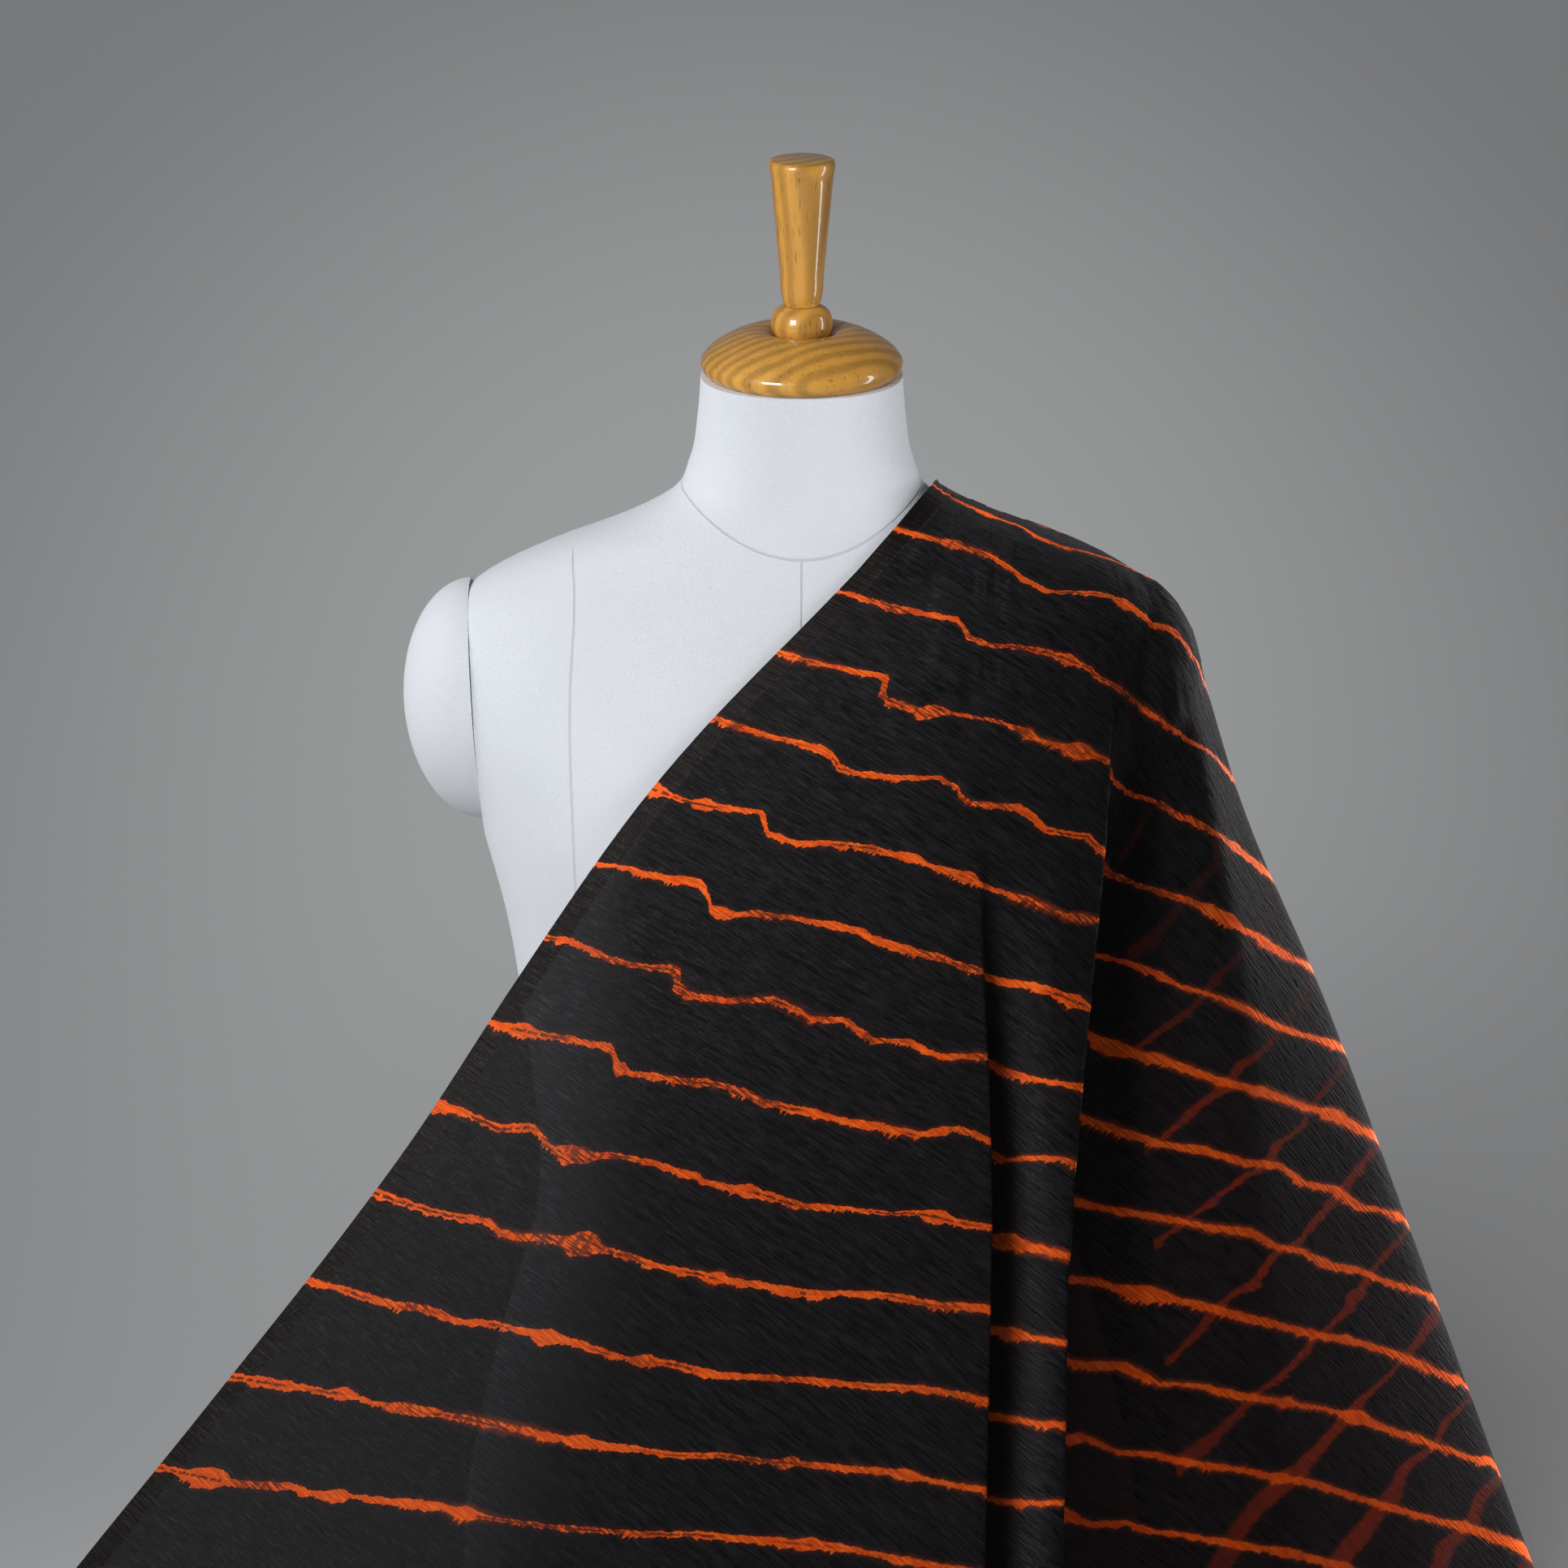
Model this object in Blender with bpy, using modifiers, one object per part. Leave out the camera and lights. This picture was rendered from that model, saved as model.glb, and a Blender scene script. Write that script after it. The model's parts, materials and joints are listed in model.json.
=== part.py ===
"""A length of leheriya tie-dye cloth thrown over one shoulder of a tabletop dress form.

Metres, +Z up. The origin is the middle of the form's flat underside. The form faces -Y and the cloth
lies over its shoulder on the +X side. The cloth fans out from the shoulder in straight pulled lines
("rulings") that bend only where the body holds them off, and its edge lies flat on the surface.
"""

import math

import bmesh
import bpy
import numpy as np
from mathutils import Matrix, Vector

# Driving sizes
CLOTH_THICKNESS = 0.0014
BODY_CLEARANCE = 0.0075
SHOULDER_CLEARANCE = 0.0016
PIECE_GAP = 0.0003
SHOULDER_LEAD = 0.055
HEM_ON_SURFACE = 0.034
FLOOR_BEND = 0.014
SQUARENESS = 2.3
NECK_TILT = math.radians(10.7)
NECK_TOP = (0.0, -0.0130, 0.7187)
ARM_LEAN = math.radians(3.2)
ARM_CENTRE = (0.1667, 0.004, 0.5500)
ARM_SEMI = (0.0385, 0.0540, 0.0625)
BUST = {"x": 0.078, "z": 0.468, "out": 0.013, "wide": 0.045, "tall": 0.052}

# Level sections of the form: height, half width, depth forward and back, and how far the middle
# has moved along Y. The tilt is a share of the neck's own.
BODY_SECTIONS = (
    # height, half_width, front, back, middle_y, tilt
    (0.0000, 0.1750, 0.1060, 0.1250, 0.000, 0.0),
    (0.0600, 0.1790, 0.1080, 0.1290, 0.000, 0.0),
    (0.1180, 0.1780, 0.1080, 0.1270, 0.000, 0.0),
    (0.2000, 0.1620, 0.1020, 0.1070, 0.000, 0.0),
    (0.2940, 0.1375, 0.0920, 0.0870, 0.000, 0.0),
    (0.3800, 0.1440, 0.1020, 0.0880, 0.000, 0.0),
    (0.4400, 0.1530, 0.1130, 0.0940, 0.000, 0.0),
    (0.4890, 0.1660, 0.1160, 0.0990, 0.000, 0.0),
    (0.5400, 0.1790, 0.1090, 0.1010, 0.000, 0.0),
    (0.5800, 0.1830, 0.0940, 0.0970, 0.002, 0.0),
    (0.6000, 0.1790, 0.0840, 0.0890, 0.003, 0.0),
    (0.6170, 0.1600, 0.0750, 0.0790, 0.004, 0.0),
    (0.6330, 0.1260, 0.0680, 0.0680, 0.003, 0.0),
    (0.6460, 0.0900, 0.0600, 0.0600, 0.001, 0.1),
    (0.6580, 0.0665, 0.0555, 0.0560, -0.002, 0.3),
    (0.6740, 0.0575, 0.0530, 0.0530, -0.005, 0.6),
    (0.6980, 0.0530, 0.0510, 0.0510, -0.009, 0.9),
    (0.7187, 0.0512, 0.0500, 0.0500, -0.013, 1.0),
)

# The line over the shoulder that the cloth hangs from, as seen from the front.
RIDGE = (
    # share, x, z
    (0.00, 0.0700, 0.6609),
    (0.18, 0.0860, 0.6511),
    (0.36, 0.1060, 0.6428),
    (0.58, 0.1320, 0.6333),
    (0.74, 0.1500, 0.6273),
    (0.88, 0.1690, 0.6230),
    (1.00, 0.1830, 0.6150),
)

# Where each pulled line meets the surface. turn is 0 at the front selvedge, 1 at the side fold and
# 2 at the back selvedge. share is the place on the ridge that the line starts from.
FRONT_LINES = (
    # turn, share, floor_x, floor_y
    (0.00, 0.00, -0.480, -0.328),
    (0.25, 0.09, -0.250, -0.335),
    (0.50, 0.21, -0.020, -0.320),
    (0.62, 0.31, 0.080, -0.298),
    (0.72, 0.77, 0.130, -0.280),
    (0.85, 0.93, 0.286, -0.142),
    (0.95, 0.985, 0.398, -0.034),
    (1.00, 1.00, 0.440, 0.012),
)
BACK_LINES = (
    # turn, floor_x, floor_y
    (1.00, 0.440, 0.012),
    (1.05, 0.404, 0.042),
    (1.15, 0.342, 0.092),
    (1.28, 0.272, 0.135),
    (1.38, 0.222, 0.165),
    (1.50, 0.176, 0.196),
    (1.75, 0.096, 0.226),
    (2.00, 0.022, 0.236),
)

# Tucks, where the cloth steps back behind an edge: step is the width of that edge and tail how far
# round the cloth the step lasts. lean moves the edge round near the shoulder, slide pulls its lip
# along, and the depth grows between the shares of the way down given as start and full.
TUCKS = (
    # turn, lean, step, tail, depth, slide, start, full
    (0.622, -0.022, 0.012, 0.085, 0.032, 0.006, 0.28, 0.52),
    (0.700, 0.036, 0.014, 0.150, 0.044, 0.006, 0.02, 0.26),
)

# The shares of the way down between which a leaning tuck straightens, and how shallow the tucks get
# near the foot.
TUCK_STRAIGHT = (0.10, 0.60)
TUCK_FOOT = {"from": 0.80, "left": 0.45}

# Soft folds: out is towards the outside of the cloth, and each grows from the share of the way down
# given as start.
FOLDS = (
    # turn, half_width, out, start
    (0.400, 0.090, 0.005, 0.45),
    (0.676, 0.022, 0.010, 0.12),
    (0.900, 0.040, 0.006, 0.50),
    (1.200, 0.060, 0.010, 0.30),
    (1.340, 0.042, -0.034, 0.20),
    (1.470, 0.055, 0.016, 0.25),
    (1.620, 0.050, -0.018, 0.30),
    (1.770, 0.060, 0.014, 0.30),
    (1.900, 0.045, -0.010, 0.35),
)

# Soft hollows of a limited length, given by the share of the way down at their middle.
HOLLOWS = (
    # turn, half_width, down, half_length, out
    (1.000, 0.150, 0.200, 0.110, -0.0060),
)

# The crest where the form's side holds the front panel out: its height, its reach to either side,
# the heights that it grows between, and the last turn that it reaches.
FLANK = {"out": 0.011, "left": 0.200, "right": 0.090, "top": 0.44, "full": 0.32,
         "last_turn": 0.55, "fade": 0.10}

# How far the first edge swings sideways on its way down, as it leaves the chest and hangs. The swing
# fades out by the last turn given.
SWAY = (
    # down, sideways
    (0.00, -0.0020),
    (0.15, -0.0006),
    (0.28, -0.0084),
    (0.39, -0.0030),
    (0.50, 0.0072),
    (0.66, 0.0052),
    (0.76, 0.0010),
    (1.00, 0.0000),
)
SWAY_LAST_TURN = 0.30

# A point of the cloth nearer to the form than this share of the clearance moves out in small steps.
CLEAR_SHARE = 0.8
CLEAR_STEP = 0.001
CLEAR_MOVES = 60

FRONT_TURNS = (
    # from, to, steps
    (0.00, 0.58, 9),
    (0.58, 0.76, 16),
    (0.76, 1.00, 9),
)
ROWS_DOWN = 21

NECK_CAP_PROFILE = ((0.0095, 0.0145), (0.0135, 0.0180), (0.0180, 0.0218), (0.0240, 0.0226),
                    (0.0330, 0.0205), (0.0420, 0.0160), (0.0485, 0.0110), (0.0513, 0.0065),
                    (0.0508, 0.0030), (0.0485, 0.0000))
BALL_PROFILE = ((0.0098, 0.0205), (0.0135, 0.0178), (0.0154, 0.0135), (0.0156, 0.0100),
                (0.0142, 0.0055), (0.0115, 0.0018), (0.0090, 0.0000))
HANDLE_PROFILE = ((0.0150, 0.0742), (0.0161, 0.0738), (0.0165, 0.0726), (0.0158, 0.0650),
                  (0.0138, 0.0430), (0.0112, 0.0160), (0.0100, 0.0030), (0.0090, 0.0000))


def clear_scene():
    for thing in list(bpy.data.objects):
        bpy.data.objects.remove(thing, do_unlink=True)


def collection(name):
    group = bpy.data.collections.new(name)
    bpy.context.scene.collection.children.link(group)
    return group


def material(name, colour, roughness, metallic=0.0):
    made = bpy.data.materials.new(name)
    made.use_nodes = True
    shader = made.node_tree.nodes["Principled BSDF"]
    shader.inputs["Base Color"].default_value = (*colour, 1.0)
    shader.inputs["Roughness"].default_value = roughness
    shader.inputs["Metallic"].default_value = metallic
    return made


def add_object(name, mesh, group, finish):
    thing = bpy.data.objects.new(name, mesh)
    group.objects.link(thing)
    mesh.materials.append(finish)
    return thing


def shade_round(mesh, sharp_angle=50.0):
    mesh.shade_smooth()
    mesh.set_sharp_from_angle(angle=math.radians(sharp_angle))


def smooth_columns(table, at):
    """The table's columns at the values given of its first one, on curves through its rows."""
    rows = np.array(table, float)
    x, y = rows[:, 0], rows[:, 1:]
    slope = np.gradient(y, x, axis=0)
    at = np.clip(np.asarray(at, float), x[0], x[-1])
    i = np.clip(np.searchsorted(x, at, side="right") - 1, 0, len(x) - 2)
    width = (x[i + 1] - x[i])[..., None]
    u = (at - x[i])[..., None] / width
    return (
        (2 * u**3 - 3 * u**2 + 1) * y[i]
        + (u**3 - 2 * u**2 + u) * width * slope[i]
        + (3 * u**2 - 2 * u**3) * y[i + 1]
        + (u**3 - u**2) * width * slope[i + 1]
    )


def smooth_step(x):
    x = np.clip(x, 0.0, 1.0)
    return x * x * (3 - 2 * x)


# The form


def bust_out(x, z):
    """How far the front stands forward at the bust."""
    across = (np.abs(x) - BUST["x"]) / BUST["wide"]
    upright = (z - BUST["z"]) / BUST["tall"]
    return BUST["out"] * np.exp(-(across**2) - upright**2)


def body_ring(height, points=48):
    """One closed section of the form, anticlockwise from +X, as points in space."""
    half_width, front, back, middle, tilt = smooth_columns(BODY_SECTIONS, height)
    ring = []
    for k in range(points):
        turn = 2 * math.pi * k / points
        c = math.copysign(abs(math.cos(turn)) ** (2 / SQUARENESS), math.cos(turn))
        s = math.copysign(abs(math.sin(turn)) ** (2 / SQUARENESS), math.sin(turn))
        x = half_width * c
        y = (back if s > 0 else front) * s
        if s < 0:
            y += bust_out(x, height) * s
        lean = tilt * NECK_TILT
        ring.append((x, middle + y * math.cos(lean), height + y * math.sin(lean)))
    return ring


def make_torso(group, cutters, finish):
    heights = [row[0] for row in BODY_SECTIONS]
    levels = sorted(heights + [0.159, 0.247, 0.337, 0.410, 0.465, 0.514, 0.561])
    bm = bmesh.new()
    rings = []
    for height in levels:
        rings.append([bm.verts.new(p) for p in body_ring(height)])
    count = len(rings[0])
    for low, high in zip(rings, rings[1:]):
        for k in range(count):
            n = (k + 1) % count
            bm.faces.new((low[k], low[n], high[n], high[k]))
    bm.faces.new(list(reversed(rings[0])))
    bm.faces.new(rings[-1])
    mesh = bpy.data.meshes.new("torso")
    bm.to_mesh(mesh)
    bm.free()
    shade_round(mesh)
    torso = add_object("torso", mesh, group, finish)
    for side in (1, -1):
        cut = torso.modifiers.new(f"armhole_{side}", "BOOLEAN")
        cut.operation = "DIFFERENCE"
        cut.solver = "EXACT"
        cut.object = armhole_cutter(side, cutters)
    return torso


def arm_frame(side):
    """Places a piece on the leaning plane of an armhole, its +X pointing out of the body."""
    x, y, z = ARM_CENTRE
    facing = Matrix.Identity(4) if side > 0 else Matrix.Scale(-1, 4, (1, 0, 0))
    return facing @ Matrix.Translation((x, y, z)) @ Matrix.Rotation(ARM_LEAN, 4, "Y")


def armhole_cutter(side, group):
    size = 0.10
    bm = bmesh.new()
    bmesh.ops.create_cube(bm, size=1.0)
    stretch = Matrix.Diagonal((size, 3 * size, 2 * size, 1.0))
    bm.transform(arm_frame(side) @ Matrix.Translation((size / 2, 0, 0)) @ stretch)
    bm.normal_update()
    bmesh.ops.recalc_face_normals(bm, faces=bm.faces)
    mesh = bpy.data.meshes.new("armhole_cutter")
    bm.to_mesh(mesh)
    bm.free()
    cutter = bpy.data.objects.new("armhole_cutter", mesh)
    cutter.hide_render = True
    cutter.display_type = "WIRE"
    group.objects.link(cutter)
    return cutter


def make_arm_cap(name, side, group, finish):
    bm = bmesh.new()
    bmesh.ops.create_uvsphere(bm, u_segments=24, v_segments=14, radius=1.0)
    cut = bmesh.ops.bisect_plane(
        bm, geom=bm.verts[:] + bm.edges[:] + bm.faces[:], plane_co=(0, 0, 0), plane_no=(-1, 0, 0),
        clear_outer=True, dist=0.00001,
    )
    rim = [g for g in cut["geom_cut"] if isinstance(g, bmesh.types.BMEdge)]
    bmesh.ops.contextual_create(bm, geom=rim)
    place = Matrix.Translation((PIECE_GAP, 0, 0)) @ Matrix.Diagonal((*ARM_SEMI, 1.0))
    bm.transform(arm_frame(side) @ place)
    bm.normal_update()
    bmesh.ops.recalc_face_normals(bm, faces=bm.faces)
    mesh = bpy.data.meshes.new(name)
    bm.to_mesh(mesh)
    bm.free()
    shade_round(mesh)
    return add_object(name, mesh, group, finish)


def make_turned(name, profile, lift, group, finish):
    """A solid of revolution on the leaning axis of the neck, lift above the neck's top."""
    bm = bmesh.new()
    outline = ((0.0, profile[0][1]), *profile, (0.0, profile[-1][1]))
    points = [bm.verts.new((radius, 0.0, height)) for radius, height in outline]
    for a, b in zip(points, points[1:]):
        bm.edges.new((a, b))
    mesh = bpy.data.meshes.new(name)
    bm.to_mesh(mesh)
    bm.free()
    thing = add_object(name, mesh, group, finish)
    turn = thing.modifiers.new("turn", "SCREW")
    turn.axis = "Z"
    turn.angle = 2 * math.pi
    turn.steps = 32
    turn.render_steps = 32
    turn.use_merge_vertices = True
    turn.merge_threshold = 0.00001
    turn.use_smooth_shade = True
    axis = Vector((0.0, -math.sin(NECK_TILT), math.cos(NECK_TILT)))
    thing.location = Vector(NECK_TOP) + axis * lift
    thing.rotation_euler = (NECK_TILT, 0.0, 0.0)
    return thing


# The cloth


def inside_body(x, y, z, share=1.0):
    """True where a point is inside the form grown by a share of the cloth's clearances."""
    clearance = share * BODY_CLEARANCE
    rise = share * SHOULDER_CLEARANCE
    lower = z - rise
    half_width, front, back, middle, _ = np.moveaxis(smooth_columns(BODY_SECTIONS, lower), -1, 0)
    depth = np.where(y > middle, back, front + bust_out(x, lower))
    across = np.abs(x) / (half_width + clearance)
    along = np.abs(y - middle) / (depth + clearance)
    in_torso = (across**SQUARENESS + along**SQUARENESS < 1) & (lower < NECK_TOP[2])
    centre = np.array(ARM_CENTRE)
    semi = np.array(ARM_SEMI) + clearance
    ball = ((x - centre[0]) / semi[0]) ** 2 + ((y - centre[1]) / semi[1]) ** 2
    in_arm = ball + ((z - centre[2]) / semi[2]) ** 2 < 1
    return in_torso | in_arm


def plan_path(start, foot, facing):
    """The line's way seen from above: off the shoulder at right angles, then towards its foot."""
    start = np.array(start[:2])
    foot = np.array(foot[:2])
    lead = start + np.array((0.0, facing * SHOULDER_LEAD))
    corners = np.array((start, lead, foot))
    steps = np.concatenate([[0], np.cumsum(np.linalg.norm(np.diff(corners, axis=0), axis=1))])
    even = np.linspace(0, steps[-1], 240)
    path = np.column_stack([np.interp(even, steps, corners[:, k]) for k in range(2)])
    for _ in range(160):
        path[1:-1] = (path[:-2] + path[1:-1] + path[2:]) / 3
    reach = np.concatenate([[0], np.cumsum(np.linalg.norm(np.diff(path, axis=0), axis=1))])
    return path, reach


def taut_line(start, foot, facing):
    """A string pulled from start to foot over the form, along its way seen from above."""
    path, reach = plan_path(start, foot, facing)
    drops = np.linspace(0.0, start[2], 90)
    outs = np.arange(0.0, reach[-1], 0.002)
    x = np.interp(outs, reach, path[:, 0])
    y = np.interp(outs, reach, path[:, 1])
    z = start[2] - drops
    held = inside_body(x[None, :] + 0 * z[:, None], y[None, :] + 0 * z[:, None], z[:, None] + 0 * x)
    points = [(0.0, start[2])]
    for row in range(len(drops)):
        hits = np.nonzero(held[row])[0]
        if len(hits):
            points.append((outs[hits[-1]], z[row]))
    points.append((reach[-1], foot[2]))
    chain = []
    for point in points:
        while len(chain) > 1 and bends_in(chain[-2], chain[-1], point):
            chain.pop()
        chain.append(point)
    out, height = np.array(chain).T
    dense = np.linspace(0, reach[-1], 200)
    x = np.interp(dense, reach, path[:, 0])
    y = np.interp(dense, reach, path[:, 1])
    return np.column_stack([x, y, np.interp(dense, out, height)])


def bends_in(a, b, c):
    """True where the middle one of three points lies on the body's side of the line past it."""
    return (b[0] - a[0]) * (c[1] - a[1]) - (b[1] - a[1]) * (c[0] - a[0]) >= 0


def even_points(line, count):
    """count points at even steps along a line, softened a little."""
    steps = np.concatenate([[0], np.cumsum(np.linalg.norm(np.diff(line, axis=0), axis=1))])
    dense = np.linspace(0, steps[-1], 8 * count)
    fine = np.column_stack([np.interp(dense, steps, line[:, k]) for k in range(3)])
    for _ in range(3 * count):
        fine[1:-1] = (fine[:-2] + 2 * fine[1:-1] + fine[2:]) / 4
    pick = np.linspace(0, len(fine) - 1, count)
    return np.column_stack([np.interp(pick, np.arange(len(fine)), fine[:, k]) for k in range(3)])


def front_turns():
    turns = [0.0]
    for start, end, steps in FRONT_TURNS:
        turns.extend(np.linspace(start, end, steps + 1)[1:])
    return np.array(turns)


def ruling_grid(turns_front):
    """The pulled lines before folding: one row of points for each turn, front then back."""
    share = smooth_columns(FRONT_LINES, turns_front)[:, 0]
    share[-1] = 1.0
    turns = np.concatenate([turns_front, 2.0 - turns_front[-2::-1]])
    shares = np.concatenate([share, share[-2::-1]])
    front_feet = smooth_columns(FRONT_LINES, turns_front)[:, 1:]
    back_feet = smooth_columns(BACK_LINES, turns[len(turns_front):])
    feet = np.vstack([front_feet, back_feet])
    ridge = smooth_columns(RIDGE, shares)
    grid = []
    for k in range(len(turns)):
        start = (ridge[k, 0], 0.0, ridge[k, 1])
        foot = (feet[k, 0], feet[k, 1], CLOTH_THICKNESS / 2)
        facing = (1.0 if turns[k] > 1 else -1.0) * (1.0 - shares[k] ** 2)
        grid.append(even_points(taut_line(start, foot, facing), ROWS_DOWN))
    return turns, np.array(grid)


def soften_across(grid, rounds):
    """Evens out neighbouring lines so that the panels read as cloth and not as strings."""
    for _ in range(rounds):
        grid[1:-1, 1:-1] += 0.25 * (grid[:-2, 1:-1] + grid[2:, 1:-1] - 2 * grid[1:-1, 1:-1])
    return grid


def surface_frame(grid):
    """Unit vectors along the hoops, and out of the cloth, at each point of the grid."""
    along = np.gradient(grid, axis=0)
    down = np.gradient(grid, axis=1)
    along /= np.linalg.norm(along, axis=2, keepdims=True) + 1e-12
    out = np.cross(down, along)
    out /= np.linalg.norm(out, axis=2, keepdims=True) + 1e-12
    return along, out


def fold_cloth(turns, grid):
    """Adds the tucks and soft folds, which grow down the cloth."""
    along, out = surface_frame(grid)
    down = np.linspace(0, 1, grid.shape[1])
    push = np.zeros(grid.shape[:2])
    slide_by = np.zeros(grid.shape[:2])
    settled = smooth_step((down - TUCK_FOOT["from"]) / (1 - TUCK_FOOT["from"]))
    shallow = 1 - (1 - TUCK_FOOT["left"]) * settled
    for turn, lean, step, tail, depth, slide, start, full in TUCKS:
        grow = (shallow * smooth_step((down - start) / (full - start)))[None, :]
        settle = smooth_step((down - TUCK_STRAIGHT[0]) / (TUCK_STRAIGHT[1] - TUCK_STRAIGHT[0]))
        past = turns[:, None] - (turn + lean * (1 - settle))[None, :]
        edge = smooth_step(past / step + 0.5)
        back = 1 - smooth_step(past / tail)
        push -= depth * edge * back * grow
        lip = np.exp(-(((past + step) / (1.5 * step)) ** 2))
        slide_by += slide * lip * grow
    for turn, half_width, outward, start in FOLDS:
        bump = np.exp(-(((turns - turn) / half_width) ** 2))[:, None]
        grow = smooth_step((down - start) / (1 - start))[None, :]
        push += outward * bump * grow
    for turn, half_width, place, half_length, outward in HOLLOWS:
        across = np.exp(-(((turns - turn) / half_width) ** 2))[:, None]
        push += outward * across * np.exp(-(((down - place) / half_length) ** 2))[None, :]
    push += flank_push(turns, grid)
    moved = grid + push[..., None] * out + slide_by[..., None] * along
    near_selvedge = 1 - smooth_step(turns / SWAY_LAST_TURN)
    moved[..., 0] += near_selvedge[:, None] * smooth_columns(SWAY, down)[:, 0]
    moved[:, -1, 2] = grid[:, -1, 2]
    return keep_clear(moved, out)


def flank_push(turns, grid):
    """How far the form's side holds the front panel out, on a soft crest down the waist and hip."""
    x, z = grid[..., 0], grid[..., 2]
    past = x + smooth_columns(BODY_SECTIONS, z)[..., 0]
    width = np.where(past < 0, FLANK["left"], FLANK["right"])
    grow = smooth_step((FLANK["top"] - z) / (FLANK["top"] - FLANK["full"]))
    front = smooth_step((FLANK["last_turn"] - turns) / FLANK["fade"])[:, None]
    return FLANK["out"] * np.exp(-((past / width) ** 2)) * grow * front


def keep_clear(grid, out):
    """Moves any point that has sunk into the form back out of it, a little at a time."""
    for _ in range(CLEAR_MOVES):
        held = inside_body(grid[..., 0], grid[..., 1], grid[..., 2], CLEAR_SHARE)
        if not held.any():
            break
        grid = grid + CLEAR_STEP * held[..., None] * out
    return grid


def add_hem(grid):
    """Lays the last of the cloth flat on the surface, outwards from each line's foot."""
    foot = grid[:, -1]
    run = foot - grid[:, -3]
    run[:, 2] = 0
    away = foot * (1.0, 1.0, 0.0)
    heading = run / np.linalg.norm(run, axis=1, keepdims=True)
    heading += 1.6 * away / np.linalg.norm(away, axis=1, keepdims=True)
    for _ in range(4):
        heading[1:-1] = (heading[:-2] + heading[1:-1] + heading[2:]) / 3
    heading /= np.linalg.norm(heading, axis=1, keepdims=True)
    rows = [foot + heading * reach for reach in (FLOOR_BEND, HEM_ON_SURFACE)]
    return np.concatenate([grid, np.stack(rows, axis=1)], axis=1)


def make_cloth(group, finish):
    turns, grid = ruling_grid(front_turns())
    grid = soften_across(grid, 2)
    grid = add_hem(fold_cloth(turns, grid))
    lines, rows = grid.shape[:2]
    middle = lines // 2
    bm = bmesh.new()
    verts = [[None] * rows for _ in range(lines)]
    for i in range(lines):
        twin = lines - 1 - i
        for j in range(rows):
            shared = j == 0 and i > middle
            verts[i][j] = verts[twin][0] if shared else bm.verts.new(grid[i, j])
    for i in range(lines - 1):
        for j in range(rows - 1):
            corners = (verts[i][j], verts[i][j + 1], verts[i + 1][j + 1], verts[i + 1][j])
            bm.faces.new(corners)
    mesh = bpy.data.meshes.new("cloth")
    bm.to_mesh(mesh)
    bm.free()
    mesh.shade_smooth()
    cloth = add_object("cloth", mesh, group, finish)
    shell = cloth.modifiers.new("thickness", "SOLIDIFY")
    shell.thickness = CLOTH_THICKNESS
    shell.offset = 0.0
    return cloth


def main():
    clear_scene()
    parts = collection("leheriya_cloth_on_dress_form")
    cutters = collection("cutters")
    cutters.hide_render = True
    canvas = material("canvas", (0.76, 0.79, 0.84), 0.85)
    wood = material("varnished_wood", (0.46, 0.25, 0.09), 0.25)
    silk = material("black_orange_silk", (0.02, 0.016, 0.018), 0.45)
    make_torso(parts, cutters, canvas)
    make_arm_cap("arm_cap_left", 1, parts, canvas)
    make_arm_cap("arm_cap_right", -1, parts, canvas)
    ball_lift = NECK_CAP_PROFILE[0][1] + 2 * PIECE_GAP
    handle_lift = ball_lift + BALL_PROFILE[0][1] + PIECE_GAP
    make_turned("neck_cap", NECK_CAP_PROFILE, PIECE_GAP, parts, wood)
    make_turned("ball_collar", BALL_PROFILE, ball_lift, parts, wood)
    make_turned("handle", HANDLE_PROFILE, handle_lift, parts, wood)
    make_cloth(parts, silk)


main()
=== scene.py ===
"""The looks of the leheriya cloth and the dress form it is draped on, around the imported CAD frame.

Metres, +Z up, the form facing -Y. The cloth and the form are modelled again from the same named
sizes as the CAD solids, with a finer grid, softer edges, seams, wood grain and the dyed pattern.
"""

import json
import math

import bmesh
import bpy
import numpy as np
from mathutils import Matrix, Vector

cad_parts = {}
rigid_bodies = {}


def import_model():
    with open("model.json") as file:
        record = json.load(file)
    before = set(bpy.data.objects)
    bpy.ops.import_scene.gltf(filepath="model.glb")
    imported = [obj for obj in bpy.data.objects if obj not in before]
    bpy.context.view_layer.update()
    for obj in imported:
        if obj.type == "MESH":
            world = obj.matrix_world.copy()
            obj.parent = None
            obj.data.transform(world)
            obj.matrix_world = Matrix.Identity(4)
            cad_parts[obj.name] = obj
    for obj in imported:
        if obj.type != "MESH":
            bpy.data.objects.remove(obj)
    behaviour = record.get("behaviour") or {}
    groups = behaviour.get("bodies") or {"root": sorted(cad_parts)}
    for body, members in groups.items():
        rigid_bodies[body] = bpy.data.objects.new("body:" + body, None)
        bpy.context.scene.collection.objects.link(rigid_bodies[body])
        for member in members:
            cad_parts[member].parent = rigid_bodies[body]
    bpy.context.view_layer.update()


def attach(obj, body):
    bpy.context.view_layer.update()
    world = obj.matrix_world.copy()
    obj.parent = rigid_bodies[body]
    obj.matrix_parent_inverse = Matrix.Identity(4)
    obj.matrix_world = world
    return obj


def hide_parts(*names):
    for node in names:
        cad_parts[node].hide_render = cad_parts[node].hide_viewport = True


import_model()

# The view: a long lens a little above the neck, looking slightly down
CAMERA_PLACE = (-0.009, -2.30, 0.89)
CAMERA_PITCH = math.radians(9.5)
CAMERA_LENS_MM = 103.3
CAMERA_SENSOR_MM = 36.0

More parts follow.
